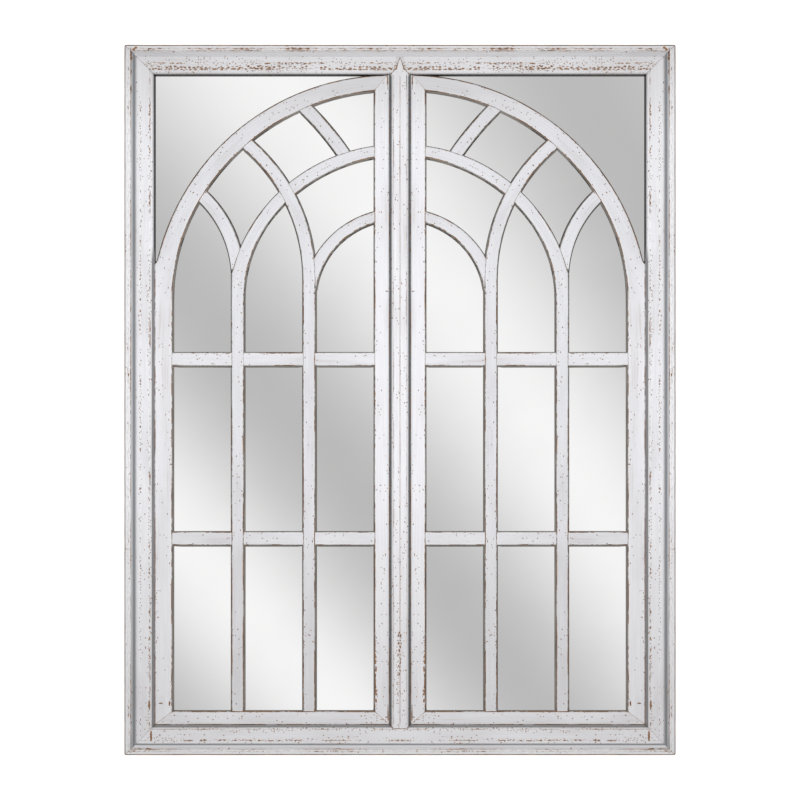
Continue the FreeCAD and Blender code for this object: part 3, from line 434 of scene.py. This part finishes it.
# %% Bare stained pine
def stained_pine(name, dark, light):
    """Pine with a brown spirit stain and no paint, dull, with dark fibres along the grain."""
    made, tree, shader = new_material(name)
    fibre = streaks(tree, 70, 1.1, 5, 13)
    fine = add(tree, "MapRange", {0: fibre, 1: 0.3, 2: 0.7}, **SOFT)
    wood = add(tree, "Mix", {0: fine, 6: linear(dark), 7: linear(light)}, data_type="RGBA")
    rings = add(tree, "MapRange", {0: streaks(tree, 300, 9, 2, 17), 1: 0.45, 2: 0.7, 3: 0, 4: 0.5}, **SOFT)
    wood = add(tree, "Mix", {0: rings, 6: wood, 7: linear(dark)}, data_type="RGBA")
    bump = add(tree, "Bump", {"Height": fibre, "Distance": 0.2 * MM, "Strength": 0.5})
    tree.links.new(wood.outputs[2], shader.inputs["Base Color"])
    tree.links.new(bump.outputs[0], shader.inputs["Normal"])
    shader.inputs["Roughness"].default_value = 0.72
    return made


frame_back = stained_pine("stained_pine_back", "#5A4130", "#8E6C4E")
bar_sides_and_shade_skirt = stained_pine("stained_pine_bar_sides", "#75706B", "#9A948E")
print("stained pine nodes", len(frame_back.node_tree.nodes))

# %% [markdown]
# Each wooden piece of the frame and of the leaves is worked from a merged copy of its solid, so that it
# stays exactly in its place. It is cut across at even steps, which gives it enough points for the
# uneven surface of hand-rubbed wood and for the four numbers that steer the paint.

# %% Cutting a solid finely
STEP = 12 * MM                  # distance between the cuts across a piece


def merged_copy(node):
    """The solid of a node as one closed skin with flat faces undivided."""
    solid = bmesh.new()
    solid.from_mesh(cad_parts[node].data)
    bmesh.ops.remove_doubles(solid, verts=solid.verts, dist=0.01 * MM)
    bmesh.ops.dissolve_limit(solid, angle_limit=radians(0.4), verts=solid.verts, edges=solid.edges)
    return solid


def cut(solid, axis, places):
    """Cuts the skin by planes square to axis 0, 1 or 2 at the given places."""
    square = Vector([float(i == axis) for i in range(3)])
    for place in places:
        bmesh.ops.bisect_plane(solid, geom=solid.verts[:] + solid.edges[:] + solid.faces[:],
                               dist=0.002 * MM, plane_co=square * place, plane_no=square)


def even_cuts(solid, axis):
    """Cuts the skin at every whole STEP between its ends."""
    ends = [vertex.co[axis] for vertex in solid.verts]
    first, last = int(min(ends) / STEP) - 1, int(max(ends) / STEP) + 1
    cut(solid, axis, [i * STEP for i in range(first, last + 1)
                      if min(ends) + MM < i * STEP < max(ends) - MM])


def marks(solid):
    """The four numbers that each point of a wooden piece carries."""
    return {name: solid.verts.layers.float.new(name) for name in ("wear", "painted_shade", "crevice_shade", "holes")}


print("cuts across a piece every", round(STEP / MM), "mm")

# %% [markdown]
# Hand work leaves no face quite flat. A soft noise moves the points inwards by a fraction of a
# millimetre, and a finer one bites small nicks into the arrises. The back face, and the faces that lie
# on the glass, stay flat, and points without wear only sink straight back, so that joints stay tight.

# %% Rubbing by hand
FRAME_RUBBED, BAR_RUBBED = 0.3 * MM, 0.25 * MM  # how much hand work takes off
WAVES, NICKS = 45, 160          # how many a metre holds: one each 22 mm and one each 6 mm
NICKS_BESIDE = Vector((7, 3, 1))        # sets the nicks apart from the waves


def rub(solid, wear, most):
    """Moves the points inwards a little, unevenly, and more on the arrises. Joints stay tight."""
    moves = []
    for vertex in solid.verts:
        co = vertex.co
        mirrored = Vector((abs(co.x), co.y, co.z))
        rough = 0.5 + 0.5 * noise.noise(mirrored * WAVES)
        nick = max(0, noise.noise(mirrored * NICKS + NICKS_BESIDE))
        seated = co.y > -0.5 * MM or abs(co.y + GLASS_FRONT) < 0.1 * MM
        depth = 0 if seated else most * (0.5 * rough + 1.6 * nick * vertex[wear])
        inwards = vertex.normal if vertex[wear] > 0 else Vector((0, min(0, vertex.normal.y), 0))
        moves.append(inwards * -depth)
    for vertex, move in zip(solid.verts, moves):
        vertex.co += move


print("waves every", round(1000 / WAVES), "mm and nicks every", round(1000 / NICKS), "mm")

# %% [markdown]
# Where wood stands on glass it casts shade, and the mirror doubles that line, so from the front each
# pane has a thin dark border. The outline that lies on the glass is drawn out into a sloping skirt,
# an added sheet whose dark faces stand for that shade. It is wider where the wood faces down or
# towards the middle, because there it lies in shade.

# %% Shade skirt along the glass
FRAME_SHADE_SKIRT = (1.2 * MM, 1.7 * MM)     # how far the outline is drawn out, at least and in the shade
BAR_SHADE_SKIRT = (1.8 * MM, 3.3 * MM)


def draw_out(solid, least, most, inside):
    """Moves the outline on the glass outwards, most where it faces down or the middle."""
    moves = {}
    for vertex in solid.verts:
        if abs(vertex.co.y + GLASS_FRONT) < 0.05 * MM and inside(vertex.co):
            sides = [face.normal for face in vertex.link_faces if abs(face.normal.y) < 0.3]
            if sides:
                outward = sum(sides, Vector())
                outward.y = 0
                outward.normalize()
                towards_middle = outward.x * (-1 if vertex.co.x > 0 else 1)
                shown = max(0, 0.8 * towards_middle, -outward.z) - 0.3 * max(0, outward.z)
                moves[vertex] = outward * (least + (most - least) * shown)
    for vertex, move in moves.items():
        vertex.co += move


print("shade skirt of the bars", [round(width / MM, 1) for width in BAR_SHADE_SKIRT], "mm")

# %% [markdown]
# A worked piece gets its map "grain", its painted finish, its bare finish on the faces that the brush
# missed, and a sharp edge wherever two faces meet steeply.

# %% Finish a wooden piece
SHARP = 50                      # degrees between two faces that meet in a sharp edge


def wooden_piece(solid, node, lay, paint, bare, is_bare):
    """Gives the skin its grain map and its finishes and puts it in the place of its node."""
    grain = solid.loops.layers.uv.new("grain")
    for face in solid.faces:
        face.smooth = True
        face.material_index = int(is_bare(face))
        for loop in face.loops:
            loop[grain].uv = lay(loop.vert.co)
    made = bpy.data.meshes.new(node + "_worked")
    solid.to_mesh(made)
    solid.free()
    made.set_sharp_from_angle(angle=radians(SHARP))
    made.materials.append(paint)
    made.materials.append(bare)
    piece = bpy.data.objects.new(node + "_worked", made)
    bpy.context.scene.collection.objects.link(piece)
    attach(piece, "mirror")
    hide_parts(node)
    return piece


print("edges are sharp from", SHARP, "degrees")

# %% [markdown]
# The moulding of the frame runs off a shaper: a proud lip, a cove, a flat fascia and a quarter-round
# bead at the sight edge. Everything on it runs in lines, so wear, a blue-grey painted shade in the
# cove, a dark painted shade in the crevice at the sight edge and worms are written down over the
# section: how strong each is at a distance in from the outer edge. Where leaves lie against the
# stiles the bead is in their shade, and above them it is open to the light.

# %% What the section of the moulding carries
ARRISES = [  # distance in from the outer edge, height over the back, reach, in millimetres, and strength
    (10.6, 30, 2.4, 1.2), (19, 26, 1.2, 0.9), (42.5, 26, 1.5, 0.95)]
SIDE_LINES = [(0.6, 28.4, 2.6, 2.1), (7, 30, 5.5, 1.03), (26, 26, 1.9, 0.8), (41.2, 26, 1.5, 1.0)]
TOP_LINES = [(0.6, 28.4, 2.6, 2.8), (7, 30, 5.5, 1.2), (38.6, 26, 2.2, 1.0), (30.4, 26, 1.9, 0.85)]
FOOT_LINES = [(0.6, 28.4, 2.6, 2.8), (7, 30, 5.5, 1.1), (24, 26, 1.9, 0.95), (42.5, 26, 1.7, 1.1)]
# Strengths at distances in from the outer edge, in millimetres, of the blue-grey painted shade in
# the cove, of the dark painted shade in the crevice at the sight edge, and of the worm holes:
SIDE_PAINTED_SHADE = [(10, 0), (11.3, 0.08), (12.9, 0.34), (14.5, 0.8), (16.2, 0.86), (17.8, 0.5), (19.4, 0.15),
             (21, 0.06), (22.7, 0)]
TOP_PAINTED_SHADE = [(11.5, 0), (13.1, 0.08), (14.8, 0.2), (16.4, 0.22), (17.8, 0.1), (19.4, 0)]
FOOT_PAINTED_SHADE = [(15.2, 0), (16.2, 0.45), (17, 0.75), (18.2, 0.7), (19.4, 0)]
OPEN_CREVICE_SHADE = [(45, 0), (46.2, 0.15), (47.3, 0.4), (48.5, 1)]
SIDE_CREVICE_SHADE = [(42.4, 0.03), (44, 0.15), (45.6, 0.75), (47.3, 0.8), (48.5, 0.4)]
FOOT_CREVICE_SHADE = [(42.9, 0), (44.6, 0.18), (46.2, 0.7), (47.8, 0.7), (48.5, 0.4)]
SIDE_HOLES = [(19, 0.05), (24, 0.1), (26, 1.35), (28, 0.1), (38, 0.05), (41, 1.4), (42.5, 0.2)]
TOP_HOLES = [(19, 0.1), (22, 0.15), (24, 0.45), (26, 0.15), (28.2, 0.5), (30.4, 3.4), (32.5, 0.5),
             (35.5, 0.5), (37.4, 4), (40.4, 4), (41.5, 0.4)]
FOOT_HOLES = [(19, 0.1), (22.4, 0.4), (24, 3), (26, 0.5), (38, 0.1), (41, 0.6), (42.5, 0.6)]


def section_wear(inward, height, lines):
    """How worn a point of the section is: as strong as a line on the line, falling to 0 at its reach."""
    return max(strength * max(0, 1 - hypot(inward - x, height - y) / reach)
               for x, y, reach, strength in lines)


def at(inward, table):
    """The value of a table at a distance in from the edge."""
    return float(interp(inward, *zip(*table)))


print("wear lines of the section", len(ARRISES + SIDE_LINES))

# %% [markdown]
# A member is cut along the section wherever one of those numbers changes, and a little more closely at
# its ends, where the outer corner of the frame is rounded off. Three fine reeds run along the lip. They
# could be a bump in the paint, but they catch the light best as real grooves, so their middle is sunk.

# %% A member of the frame
SIGHT_EDGE = 48.5 * MM
REEDS = (2.6, 5.6, 8.8)         # mm in from the outer edge
REED_HALF, REED_DEPTH = 0.5, 0.35
CORNER_ROUND = 3.6 * MM
LEAF_TOP_BESIDE = 235 * MM      # below this height the leaves lie against the stiles
SECTION_CUTS = [1.2, 1.9, 10.6, 11.3, 12.9, 14.5, 15.2, 16.2, 17.8, 20.5, 22.4, 24, 26, 28.2, 30.4, 32.5,
                36.4, 38.6, 40.4, 41.3, 43.9, 44.6, 45.6, 46.2, 47.3, 47.9]
END_CUTS = (0.5, 1.3, 2.4, 3.6)


def round_corner(co):
    """Pulls a point at an outer corner of the frame onto the small round of the corner."""
    away = Vector((abs(co.x) - HALF_WIDE + CORNER_ROUND, abs(co.z) - HALF_HIGH + CORNER_ROUND))
    if min(away) > 0 and away.length > CORNER_ROUND:
        pulled = away * (CORNER_ROUND / away.length) - away
        co.x += pulled.x * (1 if co.x > 0 else -1)
        co.z += pulled.y * (1 if co.z > 0 else -1)


def crevice_shade_beside_leaf(inward, z, crevice_shade):
    """The dark painted shade in the crevice of a stile, which changes above the leaves to that of an open
    edge.
    """
    open_share = min(1, max(0, (z - LEAF_TOP_BESIDE) / (10 * MM)))
    shut = at(inward, crevice_shade)
    return shut + (at(inward, OPEN_CREVICE_SHADE) - shut) * open_share


def mark_member(solid, edge, axis, lines, painted_shade, crevice_shade, holes):
    """Writes the four numbers on the points of a member, sinks its reeds, and returns the wear."""
    mark = marks(solid)
    for vertex in solid.verts:
        inward, height = (edge - abs(vertex.co[axis])) / MM, -vertex.co.y / MM
        vertex[mark["wear"]] = section_wear(inward, height, ARRISES + lines)
        # Painted shade: blue-grey in the cove, and dark in the crevice at the sight edge.
        vertex[mark["painted_shade"]] = at(inward, painted_shade) if height > 20 else 0
        crevice_shaded = crevice_shade_beside_leaf(inward, vertex.co.z, crevice_shade) if axis == 0 else at(inward, crevice_shade)
        vertex[mark["crevice_shade"]] = crevice_shaded if height > 10 else 0
        vertex[mark["holes"]] = at(inward, holes) if height > 25 else 0
        if height > 27 and any(abs(inward - reed) < 0.01 for reed in REEDS):
            vertex.co.y += REED_DEPTH * MM
    return mark["wear"]


print("cuts along the section", len(SECTION_CUTS) + 3 * len(REEDS))

# %% [markdown]
# The four members are made in one way. They differ in their direction, and in what their section
# carries: the head has the densest rows of holes. The two stiles share one stretch of the grain
# pattern, because the halves were worn alike, and each rail is moved to a stretch of its own.

# %% The four members
def moulded_piece(node, upright, turn, section):
    """A stile or rail of the frame, with reeds, worn arrises and an uneven surface."""
    solid = merged_copy(node)
    edge, axis, end, along = (HALF_WIDE, 0, HALF_HIGH, 2) if upright else (HALF_HIGH, 2, HALF_WIDE, 0)
    side = 1 if sum(vertex.co[axis] for vertex in solid.verts) > 0 else -1
    inwards = [reed + offset for reed in REEDS for offset in (-REED_HALF, 0, REED_HALF)] + SECTION_CUTS
    cut(solid, axis, [side * (edge - inward * MM) for inward in inwards])
    even_cuts(solid, along)
    cut(solid, along, [sign * (end - inward * MM) for inward in END_CUTS for sign in (-1, 1)])
    wear = mark_member(solid, edge, axis, *section)
    draw_out(solid, *FRAME_SHADE_SKIRT, lambda co: abs(edge - abs(co[axis]) - SIGHT_EDGE) < 0.1 * MM)
    rub(solid, wear, FRAME_RUBBED)
    for vertex in solid.verts:
        round_corner(vertex.co)

    def lay(co):
        return (co[2] if upright else abs(co[0])) + turn, edge - abs(co[axis]) + turn

    def is_bare(face):
        rabbet = 20 * MM < edge - abs(face.calc_center_median()[axis]) < 47 * MM
        behind = min(vertex.co.y for vertex in face.verts) > -19 * MM
        return face.normal.y > 0.5 or behind and abs(face.normal.y) < 0.2 and rabbet

    return wooden_piece(solid, node, lay, frame_paint, frame_back, is_bare)


side_section = (SIDE_LINES, SIDE_PAINTED_SHADE, SIDE_CREVICE_SHADE, SIDE_HOLES)
for node, upright, turn, section in (
        ("frame_left_stile", True, 0, side_section),
        ("frame_right_stile", True, 0, side_section),
        ("frame_top_rail", False, 3.3, (TOP_LINES, TOP_PAINTED_SHADE, OPEN_CREVICE_SHADE, TOP_HOLES)),
        ("frame_bottom_rail", False, 5.1, (FOOT_LINES, FOOT_PAINTED_SHADE, FOOT_CREVICE_SHADE, FOOT_HOLES))):
    piece = moulded_piece(node, upright, turn, section)
    print(node, len(piece.data.polygons), "faces")

# %% [markdown]
# The mullion between the leaves has the same bead on both sides, a fine V-groove down its middle and a
# pointed tongue at its head. Its wear runs along the beads and round the outline of its tongue and its
# foot, and a crowd of worm holes lies along the groove below the middle.

# %% Centre mullion
MULLION_LINES = [(0, 25.2, 1.5, 1.6), (10.3, 26, 1.4, 1.2)]
# Painted shade beside the leaves: blue-grey on the beads and dark in the crevice, by mm from the middle.
MULLION_PAINTED_SHADE = [(9.4, 0), (11.8, 0.12), (13.2, 0.42), (14.7, 0.85), (16.3, 0.85)]
MULLION_CREVICE_SHADE = [(13.2, 0), (14.7, 0.38), (16.3, 0.45)]
SIGHT_TOP = 531.5               # half height of the opening, in millimetres, as all of these
TONGUE = [(16.3, SIGHT_TOP), (8, 539.8), (4.4, 548.5), (0, 561)]
FOOT = [(16.3, -SIGHT_TOP), (10.8, -537), (0, -537)]
ACROSS_CUTS = (1.4, 8.9, 11.8, 13.2, 14.7, 15.6)
HEIGHT_CUTS = (533.5, 537, 541, 544, 547, 551, 555, 558, -533.5, -535.4)
WORMS_LOW, WORMS_HIGH = -480, -380
MULLION_TURN = 7.7              # moves the grain to a part of the pattern that no rail shows


def away_from(path, x, y):
    """Distance in millimetres from a point to the nearest stretch of a path."""
    point, nearest = Vector((x, y)), float("inf")
    for start, end in zip(path, path[1:]):
        start, along = Vector(start), Vector(end) - Vector(start)
        share = min(1, max(0, (point - start).dot(along) / along.length_squared))
        nearest = min(nearest, (start + along * share - point).length)
    return nearest


solid = merged_copy("centre_mullion")
cut(solid, 0, [side * inward * MM for inward in ACROSS_CUTS for side in (1, -1)])
even_cuts(solid, 2)
cut(solid, 2, [height * MM for height in HEIGHT_CUTS])
mark = marks(solid)
for vertex in solid.verts:
    x, height, z = abs(vertex.co.x) / MM, -vertex.co.y / MM, vertex.co.z / MM
    worn = section_wear(x, height, MULLION_LINES) if abs(z) < SIGHT_TOP else 0
    if height > 24 and abs(z) > SIGHT_TOP - 2.5:
        worn = max(worn, 1.8 - away_from(TONGUE if z > 0 else FOOT, x, z))
    vertex[mark["wear"]] = max(0, worn)
    if z < SIGHT_TOP:
        vertex[mark["painted_shade"]], vertex[mark["crevice_shade"]] = at(x, MULLION_PAINTED_SHADE), at(x, MULLION_CREVICE_SHADE)
    vertex[mark["holes"]] = 1.25 if x < 2 and WORMS_LOW < z < WORMS_HIGH else 0.2
rub(solid, mark["wear"], FRAME_RUBBED)
piece = wooden_piece(solid, "centre_mullion", lambda co: (co.z + MULLION_TURN, co.x),
                     frame_paint, frame_back,
                     lambda face: face.normal.y > 0.5 or face.calc_center_median().y > -18 * MM)
print("centre_mullion", len(piece.data.polygons), "faces")

# %% [markdown]
# The leaves are flat pine bars, 8 mm thick, that lie on the glass. The grain of a straight bar runs
# along it. That of an arched bar could run straight too, as if sawn from a board, but these look steamed
# and bent, so it follows the angle round the middle of the arc.

# %% Grain of the bars
ARCS = {  # bars that bend: middle of the arc (left leaf), radius, all in millimetres
    "outer_stile_and_arch": (-16.6, 141.7, 389.5), "second_arch": (-5, 139, 278.5),
    "muntin_one": (-5, 139, 278.5), "third_arch": (-2.7, 155.6, 157.5),
    "outer_rib": (-449.1, 200, 183.5), "muntin_two": (-435.7, 200, 287), "short_rib": (-488, 134, 478.5)}
LEVEL_BARS = ("sill_rail", "upper_cross_bars", "lower_cross_bars")
OUTSIDE = -300 * MM             # an arc whose middle lies past this bulges towards the mullion


def bar_grain(name, turn):
    """How the grain runs on a bar: a function from a point to metres along and across."""
    if name in LEVEL_BARS:
        return lambda co: (abs(co.x) + turn, co.z)
    if name == "inner_stile":
        return lambda co: (co.z + turn, abs(co.x))
    x, z, radius = (value * MM for value in ARCS[name])
    outwards = -1 if x < OUTSIDE else 1

    def lay(co):
        aside, above = (x + abs(co.x)) * outwards, co.z - z
        if above < 0:
            return co.z + turn, aside - radius
        return z + radius * atan2(above, aside) + turn, hypot(aside, above) - radius

    return lay


print("bars that bend", len(ARCS))

# %% [markdown]
# Each bar's front gets a band inset 1.8 mm from its arrises, over which "wear" falls from its full
# strength to 0. It is stronger near the foot and on the big arch. Arrises at a joint carry none, because
# nothing rubs them there. Worms like the foot of the leaves and the pane side of the inner stiles.

# %% Bars of the leaves
WORN_BAND = 1.8 * MM
# Painted shade in blue-grey: darker on the inner stiles next to the mullion, a little darker on the big
# arch, and evenly a little darker all over on the bars listed after it.
INNER_PAINTED_SHADE = [(16.6, 0.95), (17.9, 0.55), (19.5, 0.12), (21, 0)]   # mm from the middle, strength
ARCH_PAINTED_SHADE = 0.13
EVEN_PAINTED_SHADE = {"muntin_one": 0.13, "muntin_two": 0.13, "second_arch": 0.13, "third_arch": 0.13,
          "outer_rib": 0.13, "short_rib": 0.16, "upper_cross_bars": 0.09, "lower_cross_bars": 0.11}


def foot_share(co):
    """0 down to 300 mm below the middle, and rising to 1 at 450 mm below it."""
    return min(1, max(0, (-co.z - 0.3) / 0.15))


def arch_share(name, co):
    """0 on the outer stile, 1 on the arch that grows out of it, and 0 on all other bars."""
    return min(1, max(0, (co.z - 0.16) / 0.1)) if name == "outer_stile_and_arch" else 0


def worm_share(co):
    """How many worm holes a point has."""
    pane_side = 38 * MM < abs(co.x) < 42 * MM and -0.5 < co.z < -0.38
    return 0.11 + 0.06 * foot_share(co) + (2.6 if pane_side else 0)


def bar_piece(node, name, turn):
    """A bar of a leaf with worn arrises and an uneven front."""
    solid = merged_copy(node)
    mark = marks(solid)
    for vertex in solid.verts:
        free = any(-0.9 < face.normal.y < -0.5 for face in vertex.link_faces)
        worn = 0.98 + 0.2 * foot_share(vertex.co) + 0.22 * arch_share(name, vertex.co)
        vertex[mark["wear"]] = worn if free else 0
    front = [face for face in solid.faces if face.normal.y < -0.99]
    bmesh.ops.inset_region(solid, faces=front, thickness=WORN_BAND, use_even_offset=True,
                           use_boundary=True)
    for vertex in {vertex for face in front for vertex in face.verts}:
        vertex[mark["wear"]] = 0
    even_cuts(solid, 0)
    even_cuts(solid, 2)
    if name == "inner_stile":
        cut(solid, 0, [sign * x * MM for x, _ in INNER_PAINTED_SHADE[1:] for sign in (-1, 1)])
    for vertex in solid.verts:
        vertex[mark["holes"]] = worm_share(vertex.co)
        vertex[mark["painted_shade"]] = EVEN_PAINTED_SHADE.get(name, ARCH_PAINTED_SHADE * arch_share(name, vertex.co))
        if name == "inner_stile":
            vertex[mark["painted_shade"]] = at(abs(vertex.co.x) / MM, INNER_PAINTED_SHADE)
    solid.normal_update()
    draw_out(solid, *BAR_SHADE_SKIRT, lambda co: True)
    solid.normal_update()
    rub(solid, mark["wear"], BAR_RUBBED)
    return wooden_piece(solid, node, bar_grain(name, turn), leaf_paint, bar_sides_and_shade_skirt,
                        lambda face: face.normal.y > -0.5)


print("bars with an even painted shade", len(EVEN_PAINTED_SHADE))

# %% [markdown]
# Both leaves have the same eleven kinds of bar. Each kind gets its own stretch of the grain pattern,
# and the two leaves share it, because they were worn alike.

# %% All bars of both leaves
TURN = 0.73                     # metres of grain between one kind of bar and the next
BARS = ["outer_stile_and_arch", "inner_stile", "sill_rail", "muntin_one", "muntin_two", "second_arch",
        "third_arch", "outer_rib", "short_rib", "upper_cross_bars", "lower_cross_bars"]
for number, name in enumerate(BARS):
    for side in ("left", "right"):
        piece = bar_piece(f"{side}_{name}", name, TURN * number)
    print(name, len(piece.data.polygons), "faces")

# %% [markdown]
# Behind the leaves lies silvered float glass. A coat of silver under clear glass sends back about nine
# tenths of the light and blurs nothing, so a metal with almost no roughness stands for it. A faint
# film of dust, in patches a hand's breadth wide, keeps it from looking too perfect.

# %% Silvered float glass
DUST_PATCHES = 9                # in a metre: one each 111 mm


def own_finish(nodes, finish):
    """Gives CAD nodes that stay as they are a better material."""
    for node in nodes:
        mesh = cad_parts[node].data
        mesh.materials.clear()
        mesh.materials.append(finish)


silver, tree, shader = new_material("silvered_float_glass")
place = add(tree, "TexCoord").outputs["Object"]
dust = add(tree, "TexNoise", {"Vector": place, "Scale": DUST_PATCHES, "Detail": 5})
dust = add(tree, "MapRange", {0: dust, 1: 0.4, 2: 0.7}, **SOFT)
film = add(tree, "Mix", {0: dust, 6: linear("#F8F7F7"), 7: linear("#F5F5F5")}, data_type="RGBA")
tree.links.new(film.outputs[2], shader.inputs["Base Color"])
shader.inputs["Roughness"].default_value = 0.012
shader.inputs["Metallic"].default_value = 1
own_finish(["mirror_glass_left", "mirror_glass_right"], silver)
print("silver nodes", len(tree.nodes))

# %% [markdown]
# The back is plain and made of stock parts, which keep their solids and get the surface of the real
# thing. Hardboard is wood fibre pressed wet against a wire screen, so its rough side shows the print of
# the wires as small dimples, over short fibres and wide stains.

# %% Hardboard
SCREEN = 2.2                    # mm between the wires of the press screen, drawn a little coarse
FIBRES, STAINS = 260, 7         # in a metre: one each 3.85 mm and one each 143 mm

hardboard, tree, shader = new_material("screen_backed_hardboard")
place = add(tree, "TexCoord").outputs["Object"]
wires = add(tree, "Mapping", {0: place, 3: (tau * 1000 / SCREEN, 1, tau * 1000 / SCREEN)})
print_x, _, print_z = add(tree, "SeparateXYZ", {0: wires}).outputs
wave_x = add(tree, "Math", {0: print_x}, operation="SINE")
wave_z = add(tree, "Math", {0: print_z}, operation="SINE")
weave = add(tree, "Math", {0: wave_x, 1: wave_z}, operation="MULTIPLY")
fibres = add(tree, "TexNoise", {"Vector": place, "Scale": FIBRES, "Detail": 6})
fibres = add(tree, "MapRange", {0: fibres, 1: 0.3, 2: 0.7}, **SOFT)
stains = add(tree, "TexNoise", {"Vector": place, "Scale": STAINS, "Detail": 3})
stains = add(tree, "MapRange", {0: stains, 1: 0.4, 2: 0.8, 3: 0, 4: 0.4}, **SOFT)
dimples = add(tree, "MapRange", {0: weave, 1: -0.2, 2: 0.9, 3: 0, 4: 0.3}, **SOFT)
board = add(tree, "Mix", {0: fibres, 6: linear("#6E4A30"), 7: linear("#94694A")}, data_type="RGBA")
board = add(tree, "Mix", {0: stains, 6: board, 7: linear("#5C3D28")}, data_type="RGBA")
board = add(tree, "Mix", {0: dimples, 6: board, 7: linear("#52361F")}, data_type="RGBA")
bump = add(tree, "Bump", {"Height": weave, "Distance": 0.3 * MM, "Strength": 0.7})
tree.links.new(board.outputs[2], shader.inputs["Base Color"])
tree.links.new(bump.outputs[0], shader.inputs["Normal"])
shader.inputs["Roughness"].default_value = 0.7
own_finish(["backing_board_left", "backing_board_right"], hardboard)
print("press screen wires every", SCREEN, "mm")

# %% [markdown]
# Zinc from a plating bath is bright with a bluish cloud in it; rolled steel is plainer. Both are metals
# whose sheen changes in small patches, which one function makes for both.

# %% Metals
def metal(name, bright, dull, size, rough):
    """A bare or plated steel whose sheen varies in patches of the given size in millimetres."""
    made, tree, shader = new_material(name)
    place = add(tree, "TexCoord").outputs["Object"]
    patch = add(tree, "TexNoise", {"Vector": place, "Scale": 1000 / size, "Detail": 4})
    cloud = add(tree, "MapRange", {0: patch, 1: 0.35, 2: 0.7}, **SOFT)
    sheen = add(tree, "Mix", {0: cloud, 6: linear(bright), 7: linear(dull)}, data_type="RGBA")
    blur = add(tree, "MapRange", {0: patch, 1: 0.3, 2: 0.75, 3: rough, 4: rough + 0.18}, **SOFT)
    tree.links.new(sheen.outputs[2], shader.inputs["Base Color"])
    tree.links.new(blur.outputs[0], shader.inputs["Roughness"])
    shader.inputs["Metallic"].default_value = 1
    return made


zinc = metal("zinc_plated_steel", "#D3D6DA", "#A9AEB6", 4, 0.26)
steel = metal("bright_rolled_steel", "#C9C9CB", "#9C9C9F", 2.5, 0.24)
hangers = [f"{side}_hanger_{part}" for side in ("left", "right") for part in ("strap", "ring", "screws")]
own_finish(hangers, zinc)
own_finish(["corner_v_nails", "retaining_points"], steel)
print("zinc-plated nodes", len(hangers))

# %% [markdown]
# Two soft round bumpers keep the frame off the wall. They are moulded of a cloudy, greyish
# polyurethane, which is a little glossy.

# %% Bumpers
CLOUDS = 300                    # in a metre: one each 3.3 mm

bumper, tree, shader = new_material("moulded_polyurethane_bumper")
place = add(tree, "TexCoord").outputs["Object"]
cloudy = add(tree, "TexNoise", {"Vector": place, "Scale": CLOUDS})
grey = add(tree, "Mix", {0: cloudy, 6: linear("#B4B8B4"), 7: linear("#9CA19E")}, data_type="RGBA")
tree.links.new(grey.outputs[2], shader.inputs["Base Color"])
shader.inputs["Roughness"].default_value = 0.42
own_finish(["wall_bumpers"], bumper)
print("materials in the scene:", len(bpy.data.materials))
